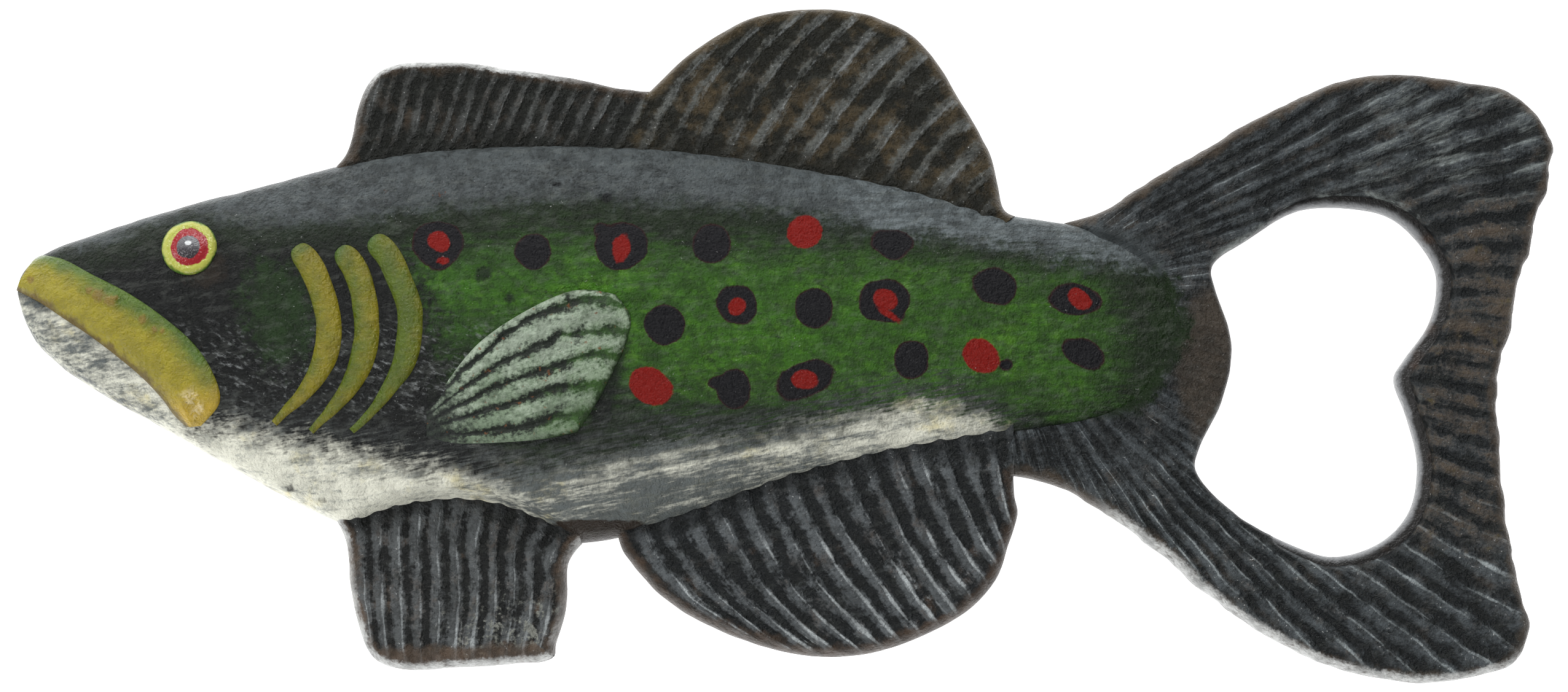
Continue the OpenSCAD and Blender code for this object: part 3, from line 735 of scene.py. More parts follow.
def patchBetween(root, tip, front, rear, u, v):
    # Coons patch: blend of the root and tip lines, and of the front and rear lines, less the corners.
    r, t, f, b = alongLine(root, u), alongLine(tip, u), alongLine(front, v), alongLine(rear, v)
    u, v = u[:, None, None], v[None, :, None]
    corners = (1 - u) * ((1 - v) * r[0] + v * t[0]) + u * ((1 - v) * r[-1] + v * t[-1])
    return (1 - v) * r[:, None] + v * t[:, None] + (1 - u) * f[None] + u * b[None] - corners


def finEdge(fin):
    return eased(exposedEdge(fin["node"], bodyOutline, *[outlineOf[n] for n in fin["touching"]]), 0.35)


dorsalEdge = np.r_[finEdge(fins["spinyDorsal"]), finEdge(fins["softDorsal"])]


def makeFin(name, fin):
    # Patch from a root line inside the body to the free edge. Height is the plate, a cosine comb of rays
    # and a fillet at the body, and a superellipse rounds it down to the parting plane.
    edge = finEdge(fin)
    first, second = [int(np.argmin(np.hypot(*(edge - fromSnout(c)).T))) for c in fin["corners"]]
    x = snout + np.linspace(*fin["root"], 60)
    bodyEdge = backLine if fin["up"] > 0 else bellyLine
    y = bodyEdge(x) - fin["up"] * finShape["rootInset"]
    if name == "pelvicFin":
        y = pelvicLine(x) + 1.2
    root = np.c_[x, y]
    u, v = crowd(finShape["along"], 0.6), crowd(finShape["outward"], 0.8, "one")
    front, rear = np.r_[root[:1], edge[:first + 1]], np.r_[root[-1:], edge[second:][::-1]]
    points = patchBetween(root, edge[first:second + 1], front, rear, u, v)
    x, y = points[..., 0], points[..., 1]
    bound = dorsalEdge if fin["up"] > 0 else edge
    inward, heading = reachTo(x, y, bound[::4], heading=True)
    down = -fin["up"] * heading
    comb = fin["rays"] * u[:, None] + fin["wobble"] * (grain(x, y, 6, 21) + 0.3 * grain(x, y, 1.5, 22))
    crest = (0.5 + 0.5 * np.cos(2 * np.pi * comb)) ** 1.8 * (0.75 + 0.25 * grain(x, y, 2.4, 23))
    bodySide = pelvicLine(x) - y if name == "pelvicFin" else (y - bodyEdge(x)) * fin["up"]
    flat = step(0.6, 2.4, inward) if name == "pelvicFin" else step(0.1, 1.1, inward)
    fillet = 0.45 * np.exp(-np.maximum(bodySide, 0) / 0.9)
    rays = fin["rayHeight"] * (crest * flat - 0.25)
    height = plateHalf + 0.12 + rays + fillet + finShape["rough"] * roughCast(x, y, 3)
    top = height * rounded(inward, finShape["wallWidth"] + 0.3 * down, 2.4)
    top = np.where(inward < 1e-3, 0, top)
    at = x - snout
    # rim marks where walls get a painted highlight: walls facing down, and a stretch of the spiny dorsal's
    # edge
    rim = step(0.3, 0.8, down)
    if fin["highlightRim"]:
        start, stop = fin["highlightRim"]
        rim = np.maximum(step(start - 3, start, at) * step(stop + 8, stop, at), rim if fin["up"] < 0 else 0)
        rim = rim * (step(-0.2, 0.4, down * -fin["up"]) if fin["up"] < 0 else 1)
    fields = {"comb": comb, "out": np.hypot(x - x[:, :1], y - y[:, :1]) / 7, "edge": inward,
              "rim": rim * fin["wall"],
              "bodySide": bodySide, "foot": step(0.6, 0.9, down) * (name == "pelvicFin"),
              "blister": (name == "pelvicFin") * step(-24, -30, y) * step(42, 52, at)}
    nudge = 0.07 * grain(x, y, 1.9, 24)
    piece = addSheet(name, x + nudge, y + nudge, top, -top, fields)
    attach(piece, "root")
    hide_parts(fin["node"])
    piece.data.materials.append(paintFin(name + "Paint", fin))


def paintFin(name, fin):
    paint = newPaint(name)
    b = brushFor(paint)
    fine, mid, broad = b.noise(0.4, 3, seed=1), b.noise(1.3, 3, seed=2), b.noise(5, 2, seed=3)
    comb, out = b.field("comb"), b.field("out")
    brushed = b.combed(b.times(comb, 2.6), out, seed=1)
    colour = b.over(fin["dark"], fin["brown"], b.cut(b.plus(broad, mid, 0.6), *fin["brownAt"]), 0.75)
    hairs = b.combed(b.times(comb, 7), b.times(out, 2), seed=4)
    lit = b.plus(b.ridge(comb, fin["sharp"]), brushed, 0.55, mid, 0.4, broad, 0.35, fine, 0.4)
    mottle = b.plus(b.noise(2.6, 3, seed=8), fine, 0.4)
    # the rays' crests lighter: dry-brushed paint, and a painted reflection
    crest = b.over(fin["crest"], fin["brown"], b.cut(mottle, 0.0, 1.2), 0.6)
    colour = b.over(colour, crest, b.cut(lit, *fin["crestAt"]), 0.95)
    # painted highlight: a thin light line on one side of each ray's crest
    edgeLine = b.ridge(b.plus(comb, -0.15, 1.0), 8.0)
    accent = b.plus(b.times(edgeLine, 0.9), brushed, 0.4, hairs, 0.3, broad, 0.5, fine, 0.2)
    accent = b.plus(accent, b.field("bodySide"), 0.035)
    colour = b.over(colour, finRayHighlight, b.cut(accent, 0.9, 1.7), fin["accent"])
    blister = b.plus(b.noise(1.4, 3, seed=10), fine, 0.7, mid, 0.5, b.field("blister"), 0.8)
    colour = b.over(colour, finBlister, b.cut(blister, 0.9, 1.6), b.field("blister"), 0.8)
    root = b.cut(b.plus(b.field("bodySide"), mid, 0.9, broad, 0.9), 2.8, 0.2)
    colour = b.over(colour, fin["dark"], root, 0.7)
    margin = b.plus(b.field("edge"), mid, 0.45, broad, 0.6, b.field("foot"), -1.2)
    colour = b.over(colour, fin["brown"], b.cut(margin, 1.5, 0.5), 0.85)
    # painted reflection and highlight: pale on the walls marked by rim
    wall = b.times(b.cut(b.plus(b.field("edge"), fine, 0.25), 0.95, 0.5), b.field("rim"))
    colour = b.over(colour, paintedHighlight, wall, b.cut(b.plus(mid, fine, 0.5), -1.4, 0.2))
    glint = b.times(b.sparks(0.75), b.cut(lit, 0.4, 1.0))
    colour = b.over(colour, paintedHighlight, glint, 0.6)
    relief = b.plus(b.skin(fine, mid), brushed, 0.6)
    b.finish(b.weather(colour, 0.4, 0.03), relief, depth=0.1, roughness=b.plus(0.36, mid, 0.06))
    return paint


for name, fin in fins.items():
    makeFin(name, fin)


# The tail, its opening and the ledge that lifts the cap.

tail = {
    "pole": (108, 4),         # the tail's rays spread from here, mm from the snout
    "rayTurn": 2.8,          # degrees from one ray to the next
    "rayHeight": 0.42,
    "around": 640, "across": 58, "wallWidth": 1.2, "holeWidth": 0.9, "rough": 0.09, "tuck": 3.5,
}
tailTints = {
    "dark": (0.01, 0.012, 0.013), "crest": (0.088, 0.102, 0.11), "pale": (0.26, 0.29, 0.28),
    "brown": (0.088, 0.066, 0.046), "olive": (0.1, 0.08, 0.03), "green": (0.011, 0.024, 0.007),
    "grey": (0.062, 0.073, 0.077), "iron": (0.062, 0.05, 0.038), "rayHighlight": (0.42, 0.47, 0.48),
}
ledge = {
    "half": 1.3, "tuck": 1.2, "around": 560, "across": 20, "toothAlong": 90, "toothTuck": 0.4,
    "metal": (0.035, 0.034, 0.033), "worn": (0.3, 0.31, 0.32), "grime": (0.02, 0.018, 0.017),
    "rust": (0.08, 0.05, 0.035),
}
mouthWalls = np.concatenate([plateWalls("tail_fin"), plateWalls("cap_fulcrum")])
ledgeWalls = [plateWalls(name, ledge["half"]) for name in ("opener_rim", "cap_tooth")]
holeWalls = np.concatenate([*ledgeWalls, plateWalls("cap_fulcrum"), mouthWalls])
holeLow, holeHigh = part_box("opener_rim")
hub = np.array([(holeLow.x / mm + holeHigh.x / mm) / 2 - 5.3, -3.6])


def reachAt(turns, walls, far=False):  # distance from the hub to the first or last wall in each direction
    a, e = walls[:, 0] - hub, walls[:, 1] - walls[:, 0]
    d = np.stack([np.cos(turns), np.sin(turns)], -1)[:, None]
    cross = lambda p, q: p[..., 0] * q[..., 1] - p[..., 1] * q[..., 0]
    slope = cross(d, e[None])
    slope = np.where(np.abs(slope) < 1e-9, 1e-9, slope)
    r, t = cross(a, e)[None] / slope, cross(a[None], d) / slope
    hit = (t >= -1e-4) & (t <= 1 + 1e-4) & (r > 0)
    return np.where(hit, r, -1.0).max(1) if far else np.where(hit, r, 1e3).min(1)


def smoothRound(values, reach=2):  # soften a closed run of values
    weights = np.hanning(2 * reach + 3)[1:-1]
    padded = np.r_[values[-reach:], values, values[:reach]]
    return np.convolve(padded, weights / weights.sum(), "valid")


def tailComb(x, y):  # ray number, and how far out along the ray
    dx, dy = x - snout - tail["pole"][0], y - tail["pole"][1]
    wobble = 0.14 * grain(x, y, 7, 31) + 0.06 * grain(x, y, 1.8, 32)
    return np.degrees(np.arctan2(dy, dx)) / tail["rayTurn"] + wobble, np.hypot(dx, dy) / 7


def makeTail():
    # Polar grid about the hub, from the mouth to the outline. Height is the plate, a cosine comb of rays
    # that spread from the pole and a fillet at the body, and superellipses round both walls.
    outer = exposedEdge("tail_fin", bodyOutline, outlineOf["anal_fin"])
    inner = [outer[-1] + tail["tuck"] * np.array([0.1, -1]), outer[0] + tail["tuck"] * np.array([0.1, 1.6]),
             outer[0] + tail["tuck"] * np.array([-0.35, 0.2])]
    chord = np.r_[outer[-1:], inner, outer[:1]]  # closes the plate inside the body
    turns = np.linspace(0, 2 * np.pi, tail["around"], endpoint=False)
    walls = np.r_[np.stack([outer[:-1], outer[1:]], 1), np.stack([chord[:-1], chord[1:]], 1)]
    outside = smoothRound(reachAt(turns, walls, far=True))
    inside = smoothRound(reachAt(turns, mouthWalls))
    share = crowd(tail["across"], 0.85)[:, None]
    reach = inside + (outside - inside) * share
    x, y = hub[0] + reach * np.cos(turns), hub[1] + reach * np.sin(turns)
    edgeIn, headIn = reachTo(x, y, closed(np.c_[x[0], y[0]])[::2], heading=True)
    edgeOut, headOut = reachTo(x, y, outer[::2], heading=True)
    beyond = np.sign(np.maximum(y - backLine(x), bellyLine(x) - y))
    bodyGap = reachTo(x, y, bodyOutline) * np.where(x > bodyHigh[0], 1, beyond)
    comb, out = tailComb(x, y)
    fork = step(2.6, 3.8, out)  # every second ray starts further out
    crest = (1 - fork) * (0.5 + 0.5 * np.cos(np.pi * comb)) + fork * (0.5 + 0.5 * np.cos(2 * np.pi * comb))
    crest = np.sqrt(crest) * (0.8 + 0.2 * grain(x, y, 2.6, 33))
    calm = step(0.3, 1.6, edgeOut) * step(0.2, 2.0, edgeIn) * step(0, 3, bodyGap)
    fillet = 0.8 * np.exp(-np.where(bodyGap > 0, bodyGap / 2.2, -bodyGap / 0.5))
    rays = tail["rayHeight"] * (crest - 0.6) * calm
    height = plateHalf + 0.1 + rays + fillet + tail["rough"] * roughCast(x, y, 6)
    top = height * rounded(edgeOut, tail["wallWidth"], 2.4) * rounded(edgeIn, tail["holeWidth"], 3)
    start = outer[-1]  # where the plate slips out from under the back
    top = top * (0.35 + 0.65 * step(0, 5, np.hypot(x - start[0], y - start[1])))
    top[0] = 0
    top[-1] = np.where(edgeOut[-1] < 0.3, 0, top[-1])
    at = x - snout
    bar = step(150, 154, at) * step(22, 12, y) * step(-26, -18, y)
    land = np.exp(-(((at - 132.5) / 5) ** 2 + ((y + 2.5) / 9.5) ** 2) ** 2)
    fields = {"comb": comb, "crest": crest, "out": out, "edge": edgeOut, "hole": edgeIn,
              "bodySide": bodyGap, "bar": bar,
              "land": land, "tip": step(138, 160, at) * step(12, 19, y), "sideways": y,
              "lower": step(-10, -18, y), "rim": step(0.3, 0.8, headOut) * step(118, 123, at),
              "holeRim": step(0.2, 0.8, -headIn)}
    nudge = 0.07 * grain(x, y, 1.9, 34)
    ragged = 0.3 * grain(x, y, 2.3, 35) + 0.1 * grain(x, y, 0.9, 36)
    ragged = ragged * step(3, 0, edgeOut) * step(0, 6, bodyGap)
    piece = addSheet("tailFin", x + nudge + ragged, y + nudge, top, -top, fields, wrap=True)
    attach(piece, "root")
    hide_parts("tail_fin", "cap_fulcrum")
    piece.data.materials.append(paintTail())
    return inside


def paintTail():
    tint = tailTints
    paint = newPaint("tailPaint")
    b = brushFor(paint)
    fine, mid, broad = b.noise(0.4, 3, seed=1), b.noise(1.3, 3, seed=2), b.noise(6, 2, seed=3)
    comb, out = b.field("comb"), b.field("out")
    brushed = b.combed(b.times(comb, 2.4), out, seed=2)
    hairs = b.combed(b.times(comb, 7), b.times(out, 2), seed=4)
    lit = b.plus(b.times(b.field("crest"), 1.1), brushed, 0.5, mid, 0.35, broad, 0.3, fine, 0.35)
    colour = b.over(tint["dark"], tint["brown"], b.cut(b.plus(broad, mid, 0.6), 0.2, 1.2), 0.5)
    mottle = b.plus(b.noise(2.6, 3, seed=8), fine, 0.4)
    # the rays' crests lighter: dry-brushed paint, and a painted reflection
    crest = b.over(tint["crest"], tint["brown"], b.cut(mottle, 0.1, 1.2), 0.6)
    colour = b.over(colour, crest, b.cut(lit, 0.1, 1.3), 0.95)
    # painted highlight: a thin light line on one side of each ray's crest, more of it on the lower lobe
    edgeLine = b.ridge(b.plus(comb, -0.15, 1.0), 8.0)
    accent = b.plus(b.times(edgeLine, 0.9), brushed, 0.4, hairs, 0.35, broad, 0.4, fine, 0.2)
    accent = b.plus(accent, b.field("lower"), 0.3)
    colour = b.over(colour, tint["rayHighlight"], b.cut(accent, 0.9, 1.7), 0.8)
    tipShare = b.times(b.field("tip"), b.cut(b.plus(brushed, broad, 0.6, hairs, 0.7), -0.1, 1.3))
    colour = b.over(colour, tint["pale"], tipShare, 0.8)
    barShare = b.cut(b.plus(b.field("bar"), mid, 0.2, broad, 0.2), 0.3, 0.9)
    colour = b.over(colour, tint["brown"], barShare, 0.9, b.cut(b.plus(lit, broad, 0.3), 0.3, 1.3))
    olive = b.cut(b.plus(mid, broad, 0.8), 0.6, 1.3)
    colour = b.over(colour, tint["olive"], barShare, olive, 0.7)
    colour = b.over(colour, tint["iron"], b.cut(b.plus(b.field("land"), mid, 0.2), 0.25, 0.75), 0.92)
    near = b.plus(b.field("bodySide"), mid, 1.0, fine, 0.5)
    skin = b.over(tint["green"], tint["grey"], b.cut(b.plus(b.field("sideways"), mid, 1.5), 6, 9))
    colour = b.over(colour, skin, b.cut(near, 1.6, 0.0), b.cut(b.field("sideways"), -9, -7))
    margin = b.plus(b.field("edge"), mid, 0.4, broad, 0.6)
    colour = b.over(colour, tint["brown"], b.cut(margin, 1.4, 0.4), 0.8)
    # painted reflection: pale on the outer walls that face down
    wall = b.times(b.cut(b.plus(b.field("edge"), fine, 0.25), 1.0, 0.5), b.field("rim"))
    colour = b.over(colour, paintedHighlight, wall, b.cut(b.plus(mid, fine, 0.5), -1.4, 0.2))
    # painted reflection: pale on the opening's upper wall, which faces down
    holeWall = b.times(b.cut(b.plus(b.field("hole"), fine, 0.2), 0.8, 0.4), b.field("holeRim"))
    colour = b.over(colour, tint["pale"], holeWall, b.cut(b.plus(mid, broad, 0.8), -0.2, 0.8))
    # painted glints, more of them on the lower lobe
    glint = b.times(b.sparks(0.7), b.cut(lit, 0.4, 1.0))
    colour = b.over(colour, paintedHighlight, glint, b.plus(0.4, b.field("lower"), 0.4))
    relief = b.plus(b.skin(fine, mid), brushed, 0.8)
    b.finish(b.weather(colour, 0.4, 0.03), relief, depth=0.1, roughness=b.plus(0.36, mid, 0.06))
    return paint


def ledgeSheet(turns, inner, outer, half, width):
    # Polar strip about the hub, from the opening's edge to inside the plate, its lip a superellipse.
    share = crowd(ledge["across"], 0.5)[:, None]
    reach = inner + (outer - inner) * share
    x, y = hub[0] + reach * np.cos(turns), hub[1] + reach * np.sin(turns)
    top = half * rounded(reach - inner, width, 2.2) + 0.05 * roughCast(x, y, 8)
    top[0] = 0
    return x, y, top, reach - inner + 0 * x


def makeLedge():
    turns = np.linspace(0, 2 * np.pi, ledge["around"], endpoint=False)
    inner = smoothRound(reachAt(turns, holeWalls), 1)
    outer = smoothRound(reachAt(turns, mouthWalls)) + ledge["tuck"]
    x, y, top, reach = ledgeSheet(turns, inner, outer, ledge["half"], 0.6)
    piece = addSheet("openerRim", x, y, top, -top, {"lip": reach}, wrap=True)
    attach(piece, "root")
    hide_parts("opener_rim")
    piece.data.materials.append(paintLedge())


def makeTooth():
    # The ledge's strip over the tooth's bearing only, pushed into the mouth by a half sine.
    low, high = [np.array(c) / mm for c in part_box("cap_tooth")]
    corners = np.array([(low[0], low[1]), (low[0], high[1]), (high[0], low[1]), (high[0], high[1])]) - hub
    bearing = np.arctan2(corners[:, 1], corners[:, 0])
    turns = np.linspace(bearing.min(), bearing.max(), ledge["toothAlong"])
    inner, outer = reachAt(turns, holeWalls), reachAt(turns, mouthWalls) + ledge["toothTuck"]
    swell = np.sin(np.pi * np.linspace(0, 1, len(turns))) ** 0.7
    x, y, top, reach = ledgeSheet(turns, inner - 0.08 * swell, outer, ledge["half"], 0.5)
    top = top * (0.7 + 0.5 * swell)
    piece = addSheet("capTooth", x, y, top, -top, {"lip": reach})
    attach(piece, "root")
    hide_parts("cap_tooth")
    piece.data.materials.append(paintLedge("toothPaint"))


def paintLedge(name="ledgePaint"):
    paint = newPaint(name, roughness=0.32, coat=0.4)
    b = brushFor(paint)
    fine, mid = b.noise(0.4, 3, seed=1), b.noise(1.5, 3, seed=2)
    # painted highlight: lighter along the ledge's inner edge
    colour = b.over(ledge["metal"], ledge["worn"], b.cut(b.plus(b.field("lip"), mid, 0.2), 0.9, 0.2), 0.8)
    colour = b.over(colour, ledge["grime"], b.cut(b.plus(mid, fine, 0.4), 0.2, 1.0), 0.6)
    colour = b.over(colour, ledge["rust"], b.cut(b.noise(4, 2, seed=3), 0.2, 0.9), 0.6)
    b.finish(colour, b.plus(fine, mid, 0.8), depth=0.06)
    return paint


makeTail()
makeLedge()
makeTooth()


# What is raised on each flank: lip, eye, gill ridges and pectoral fin.

lip = {
    "height": 0.95, "along": 150, "across": 46,
    "upperEdge": (0.09, 0.16, 0.015), "yellow": (0.33, 0.28, 0.008), "corner": (0.55, 0.36, 0.02),
    "lowerEdge": (0.15, 0.1, 0.006), "shine": (0.8, 0.66, 0.36), "blister": (0.24, 0.15, 0.02),
    "speck": (0.07, 0.04, 0.01),
}
lipUpper = [(2.4, 9.8), (5.5, 9.1), (8.9, 7.3), (12.9, 5.2), (16.6, 2.7), (20.1, -0.3), (22.3, -3.5),
            (23.1, -6.8), (20.9, -9.4)]
lipLower = [(0.25, 5.7), (2.9, 4.3), (5.9, 2.3), (8.9, 0.3), (11.9, -2), (14.4, -4.1), (16.5, -6.3),
            (17.9, -8.2), (19.3, -9.5)]
blisters = [(9.6, 4.9, 0.9, 0.35), (10.9, 4.3, 0.8, 0.4), (8.6, 5.5, 0.5, 0.25), (11.6, 4.6, 0.4, 0.25),
            (14.6, 2.2, 0.6, 0.25), (15.9, 1.1, 0.45, 0.25), (16.8, 0.9, 0.35, 0.2), (1.9, 6.8, 0.5, -0.2)]
eye = {
    "place": (19.5, 10.2), "radius": 3.1, "iris": 2.1, "pupil": 1.3, "height": 0.85, "rings": 40,
    "around": 96,
    "yellow": (0.43, 0.45, 0.08), "rim": (0.07, 0.16, 0.02), "red": (0.3, 0.014, 0.02),
    "dark": (0.035, 0.03, 0.035), "grey": (0.16, 0.16, 0.17), "glint": (0.75, 0.77, 0.78), "glintUp": 0.45,
}
gills = {
    "middles": [[(31.3, 10.3), (32.9, 8.2), (34.2, 5.4), (35, 2.3), (35, -0.7), (34.2, -3.2), (32.7, -5.6),
                 (30.6, -7.7), (29.1, -9.2)],
                [(36, 10), (37.7, 8), (38.7, 5.3), (39.2, 2.3), (39.1, -0.7), (38.3, -3.6), (36.7, -6.2),
                 (34.7, -8.5), (33.1, -10.1)],
                [(39.5, 11.1), (41.4, 9.3), (42.9, 6.2), (43.9, 3.3), (43.9, 0.3), (43.3, -2.7),
                 (41.9, -5.2), (39.8, -8), (37.6, -10.1)]],
    "halfWidth": 1.4, "height": 0.6, "along": 110, "across": 26,
    "yellow": (0.24, 0.2, 0.004), "green": (0.085, 0.13, 0.004), "top": (0.05, 0.12, 0.02),
    "glint": (0.4, 0.42, 0.2),
}
pectoral = {
    "bottom": [(45.8, -11.4), (50.2, -11.5), (55.2, -11.3), (59.2, -10.9), (62.3, -10.2)],
    "tip": [(62.3, -10.2), (64.3, -7.2), (66.1, -3.8), (67.5, -0.7), (68.1, 2.3), (66.4, 4.9)],
    "top": [(45.8, -7.4), (48.3, -4.2), (51.6, -0.4), (55.7, 2.5), (60.2, 4.8), (63.2, 5.4), (66.4, 4.9)],
    "rays": 5, "height": 0.5, "rayHeight": 0.34, "along": 120, "across": 150,
    "groove": (0.016, 0.022, 0.016), "grooveTip": (0.04, 0.09, 0.025), "ray": (0.2, 0.27, 0.18),
    "pale": (0.46, 0.54, 0.43), "green": (0.05, 0.13, 0.02), "soot": (0.02, 0.024, 0.022),
    "margin": (0.03, 0.06, 0.02), "rust": (0.2, 0.08, 0.03),
}


def addRelief(name, side, x, y, height, fields, wrap=False):
    # A skin raised over the flank, with its foot sunk below it; side is 1 on the left and -1 on the right.
    base = flankHeight(x, y)
    top, bottom = base + height - 0.12, np.maximum(base - 0.6, 0)
    return addSheet(name, x, y, side * top, side * bottom, fields, wrap)


def placed(piece, node, paint):
    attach(piece, "root")
    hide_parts(node)
    piece.data.materials.append(paint)


def makeLip(side, hand, paint):
    # Ruled surface between the two edge curves. A bell across it is the roll, round bells are the blisters.
    u, v = np.linspace(0, 1, lip["along"]), crowd(lip["across"], 0.7)
    upper, lower = fromSnout(throughPoints(lipUpper, u)), fromSnout(throughPoints(lipLower, u))
    u, v = u[:, None], v[None, :]
    points = upper[:, None] * (1 - v[..., None]) + lower[:, None] * v[..., None]
    x, y = points[..., 0] - 0.1 * np.sin(np.pi * v) * step(0.1, 0, u), points[..., 1]
    sides = upper, lower, np.r_[upper[-1:], lower[-1:]]
    inward = np.minimum.reduce([reachTo(x, y, line) for line in sides])
    roll = np.exp(-((v - 0.72) / 0.22) ** 2)
    height = lip["height"] * rounded(inward, 1.0, 2.2) * (0.55 + 0.45 * roll)
    height = height * (0.8 + 0.35 * step(0.5, 0.85, u))
    spoiled = 0 * x
    for bx, by, radius, rise in blisters:
        bump = np.exp(-(((x - snout - bx) ** 2 + (y - by) ** 2) / radius ** 2) ** 1.5)
        height, spoiled = height + rise * bump, np.maximum(spoiled, bump)
    fields = {"across": v + 0 * x, "along": u + 0 * x, "spoiled": spoiled, "edge": inward}
    placed(addRelief(hand + "Lip", side, x, y, height, fields), hand + "_lip", paint)


def paintLip():
    paint = newPaint("lipPaint", roughness=0.3, coat=0.7)
    b = brushFor(paint)
    fine, mid, broad = b.noise(0.4, 3, seed=1), b.noise(1.5, 3, seed=2), b.noise(5, 2, seed=3)
    across = b.plus(b.field("across"), mid, 0.08, broad, 0.08)
    colour = b.over(lip["upperEdge"], lip["yellow"], b.cut(across, 0.05, 0.5))
    # the lip's tip more orange: its paint, with a painted highlight in it
    colour = b.over(colour, lip["corner"], b.cut(b.plus(b.field("along"), broad, 0.05), 0.66, 0.9), 0.85)
    # painted shade: darker olive below the roll, along the lower edge
    colour = b.over(colour, lip["lowerEdge"], b.cut(across, 0.84, 0.97))
    shine = b.times(b.cut(b.plus(b.field("along"), mid, 0.02), 0.74, 0.82),
                    b.cut(b.field("along"), 0.96, 0.88))
    shine = b.times(shine, b.cut(across, 0.28, 0.42), b.cut(across, 0.72, 0.56))
    colour = b.over(colour, lip["shine"], shine, b.cut(b.plus(fine, mid, 0.7), -0.8, 0.9))
    colour = b.over(colour, lip["blister"], b.cut(b.plus(b.field("spoiled"), fine, 0.3), 0.3, 0.9), 0.8)
    colour = b.over(colour, lip["speck"], b.cut(b.noise(0.6, 2, seed=5), 0.95, 1.3), 0.7)
    b.finish(b.weather(colour, 0.2, 0.02), b.plus(fine, mid, 0.8, broad, 0.8), depth=0.09)
    return paint


def makeEye(side, hand, paint):
    # Polar dome: a quarter round at the rim, a groove at the iris and a bell over the pupil.
    share = crowd(eye["rings"], 0.3, "one")[:, None]
    turn = np.linspace(0, 2 * np.pi, eye["around"], endpoint=False)[None, :]
    reach = share * eye["radius"] * (1 + 0.02 * np.sin(3 * turn) + 0.015 * np.sin(5 * turn + 1))
    centre = fromSnout(eye["place"])
    x, y = centre[0] + reach * np.cos(turn), centre[1] + reach * np.sin(turn)
    height = eye["height"] * rounded(eye["radius"] - reach, 1.2, 2) + 0.25 * np.exp(-(reach / 1.6) ** 4)
    height = height - 0.12 * np.exp(-((reach - eye["iris"]) / 0.25) ** 2)
    fields = {"ring": reach, "dx": x - centre[0], "dy": y - centre[1]}
    placed(addRelief(hand + "Eye", side, x, y, height, fields, wrap=True), hand + "_eye",
           paint)


def paintEye():
    paint = newPaint("eyePaint", roughness=0.28, coat=0.7)
    b = brushFor(paint)
    fine, mid = b.noise(0.35, 2, seed=1), b.noise(1.2, 2, seed=2)
    ring = b.plus(b.field("ring"), mid, 0.14, fine, 0.05)
    colour = b.over(eye["yellow"], eye["rim"], b.cut(b.plus(b.field("ring"), mid, 0.25), 2.75, 3.1))
    red = b.cut(b.plus(ring, b.field("dx"), -0.06), eye["iris"] + 0.06, eye["iris"] - 0.06)
    colour = b.over(colour, eye["red"], red)
    grey = b.over(eye["dark"], eye["grey"], b.cut(b.plus(b.field("dy"), mid, 0.5), -0.9, 0.9))
    colour = b.over(colour, grey, b.cut(ring, eye["pupil"] + 0.08, eye["pupil"] - 0.08))
    dx, dy = b.field("dx"), b.plus(b.field("dy"), eye["glintUp"], -1.0)
    glintAt = b.plus(b.times(dx, dx), b.times(dy, dy), 2.2)
    colour = b.over(colour, eye["glint"], b.cut(b.plus(glintAt, fine, 0.05), 0.22, 0.05))
    b.finish(colour, b.plus(fine, mid, 0.8), depth=0.03)
    return paint


def makeGills(side, hand, paint):
    # A band along each middle curve, a superellipse across, with a quarter-round top and a long taper.
    points, faces, parts = [], [], {"across": [], "along": [], "number": []}
    for number, middle in enumerate(gills["middles"]):
        u, v = np.linspace(0, 1, gills["along"])[:, None], (2 * crowd(gills["across"], 0.7) - 1)[None, :]
        line = fromSnout(throughPoints(middle, u[:, 0]))
        run = np.gradient(line, axis=0)
        normal = np.c_[-run[:, 1], run[:, 0]] / np.hypot(run[:, 0], run[:, 1])[:, None]
        taper = np.sqrt(np.clip(1 - (1 - u / 0.1).clip(0, 1) ** 2, 0, 1)) * (1 - 0.72 * step(0.5, 1, u))
        wide = gills["halfWidth"] * taper + 0.02
        x, y = [line[:, k][:, None] + normal[:, k][:, None] * v * wide for k in (0, 1)]
        x, y = x + 0.06 * grain(x, y, 1.5, 41), y + 0.06 * grain(x, y, 1.5, 42)
        full = np.minimum(wide / gills["halfWidth"] + 0.15, 1)
        height = gills["height"] * (1 - np.abs(v) ** 2.4) ** 0.6 * full
        base = flankHeight(x, y)
        p, f = sheetSolid(x, y, side * (base + height - 0.12), side * np.maximum(base - 0.6, 0))
        faces.append(f + sum(len(q) for q in points))
        points.append(p)
        for key, value in (("across", v + 0 * x), ("along", u + 0 * x), ("number", number + 0 * x)):
            parts[key] += [value.ravel(), value.ravel()]
    piece = addMesh(hand + "GillRidges", np.concatenate(points), np.concatenate(faces),
                    {k: np.concatenate(v) for k, v in parts.items()})
    placed(piece, hand + "_gill_ridges", paint)


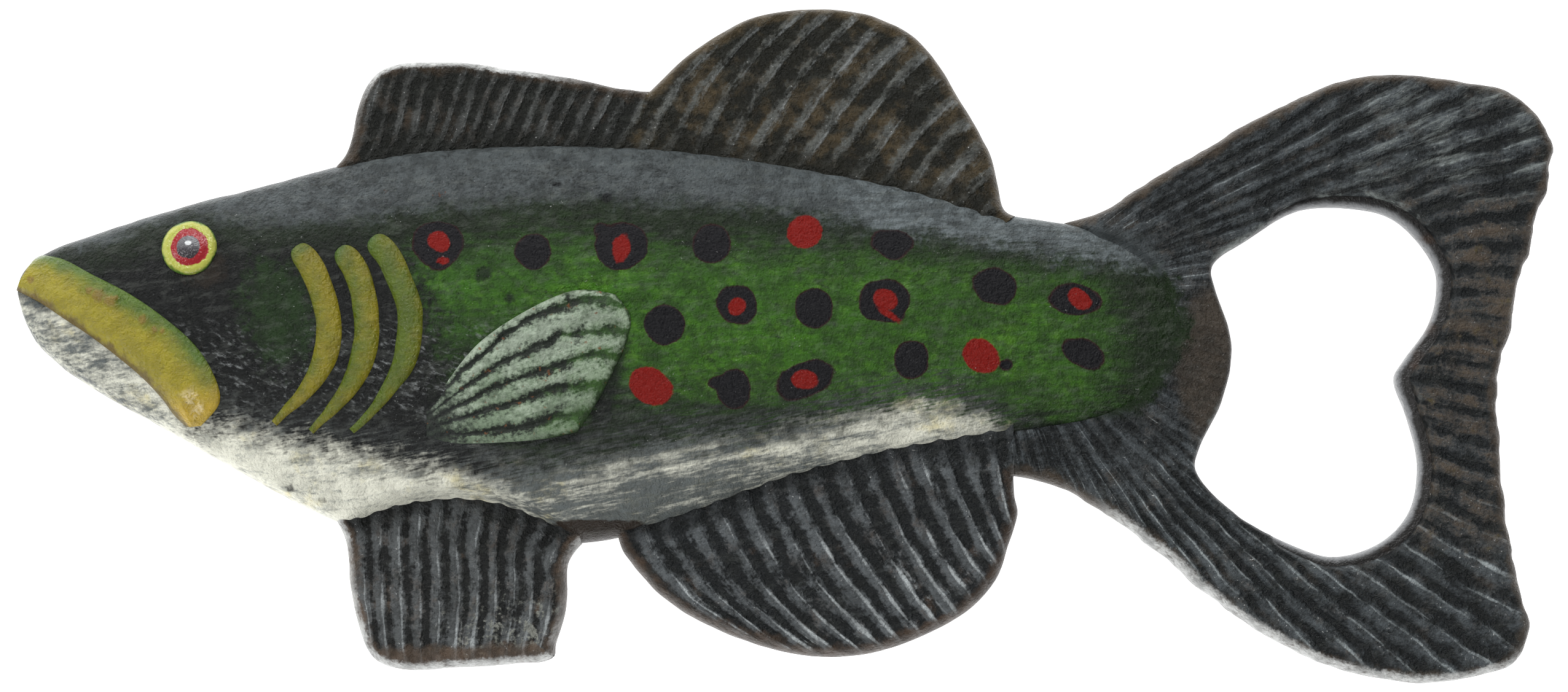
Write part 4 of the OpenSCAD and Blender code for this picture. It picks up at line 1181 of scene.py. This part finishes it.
def paintGills():
    paint = newPaint("gillPaint", roughness=0.34, coat=0.6)
    b = brushFor(paint)
    fine, mid, broad = b.noise(0.4, 3, seed=1), b.noise(1.5, 3, seed=2), b.noise(4, 2, seed=3)
    green = b.plus(b.times(b.field("number"), 0.3), mid, 0.25, broad, 0.2, b.field("across"), -0.3)
    colour = b.over(gills["yellow"], gills["green"], b.cut(green, -0.3, 0.8))
    colour = b.over(colour, gills["top"], b.cut(b.plus(b.field("along"), mid, 0.04), 0.1, 0.0), 0.8)
    colour = b.over(colour, gills["glint"], b.cut(b.noise(0.3, 1, seed=4), 0.8, 1.2), 0.5)
    b.finish(b.weather(colour, 0.2, 0.02), b.plus(fine, mid, 0.8), depth=0.09)
    return paint


def makePectoral(side, hand, paint):
    # Patch between the bottom, tip and top curves. Height grows outwards, with a cosine comb of rays.
    u, v = crowd(pectoral["across"], 0.3), crowd(pectoral["along"], 0.6, "one")
    t = np.linspace(0, 1, 60)
    bottom, tip, top = [fromSnout(throughPoints(pectoral[k], t)) for k in ("bottom", "tip", "top")]
    points = patchBetween(np.r_[bottom[:1], top[:1]], tip, bottom, top, u, v)
    x, y = points[..., 0], points[..., 1]
    u, v = u[:, None], v[None, :]
    inward = np.minimum.reduce([reachTo(x, y, line) for line in (tip, bottom, top)])
    wobble = 0.12 * grain(x, y, 4, 51) + 0.06 * grain(x, y, 1.2, 52)
    crest = (0.5 + 0.5 * np.cos(2 * np.pi * pectoral["rays"] * (u ** 1.15 + wobble / 4))) ** 0.3
    swell = 0.25 + 0.75 * step(0.1, 0.9, v)
    height = (pectoral["height"] * swell + pectoral["rayHeight"] * crest * step(0.05, 0.4, v)
              * step(0.99, 0.7, v * (0.6 + 0.4 * u))) * rounded(inward, 0.9, 2.2)
    fields = {"crest": crest + 0 * x, "across": u + 0 * x, "along": v + 0 * x, "edge": inward}
    placed(addRelief(hand + "PectoralFin", side, x, y, height, fields), hand + "_pectoral_fin",
           paint)


def paintPectoral():
    paint = newPaint("pectoralPaint")
    b = brushFor(paint)
    fine, mid, broad = b.noise(0.4, 3, seed=1), b.noise(1.3, 3, seed=2), b.noise(4, 2, seed=3)
    along = b.field("along")
    lit = b.plus(b.field("crest"), fine, 0.3, mid, 0.28, b.noise((2.5, 0.4), 3, turn=22, seed=6), 0.2)
    groove = b.over(pectoral["groove"], pectoral["grooveTip"], b.cut(b.plus(along, mid, 0.2), 0.7, 1.0))
    colour = b.over(groove, pectoral["ray"], b.cut(lit, 0.45, 0.95))
    pale = b.plus(lit, broad, 0.35, b.field("across"), 0.35, along, 0.25)
    colour = b.over(colour, pectoral["pale"], b.cut(pale, 1.0, 1.8), 0.85)
    green = b.plus(along, broad, 0.2, b.field("across"), -0.2)
    colour = b.over(colour, pectoral["green"], b.cut(b.plus(green, mid, 0.25), 0.6, 1.0), 0.4)
    sooty = b.plus(along, mid, 0.12, fine, 0.12, b.field("crest"), 0.1, b.field("across"), 0.12)
    colour = b.over(colour, pectoral["soot"], b.cut(sooty, 0.52, 0.16), 0.92)
    rim = b.plus(b.field("edge"), mid, 0.35, fine, 0.2)
    colour = b.over(colour, pectoral["margin"], b.cut(rim, 0.6, 0.0), b.cut(along, 0.6, 0.9))
    colour = b.over(colour, pectoral["rust"], b.cut(b.noise(0.8, 2, seed=5), 0.6, 1.0), 0.75)
    b.finish(b.weather(colour, 0.3, 0.04), b.skin(fine, mid), depth=0.06)
    return paint


paints = {"lip": paintLip(), "eye": paintEye(), "gills": paintGills(), "pectoral": paintPectoral()}
for side, hand in ((1, "left"), (-1, "right")):
    makeLip(side, hand, paints["lip"])
    makeEye(side, hand, paints["eye"])
    makeGills(side, hand, paints["gills"])
    makePectoral(side, hand, paints["pectoral"])
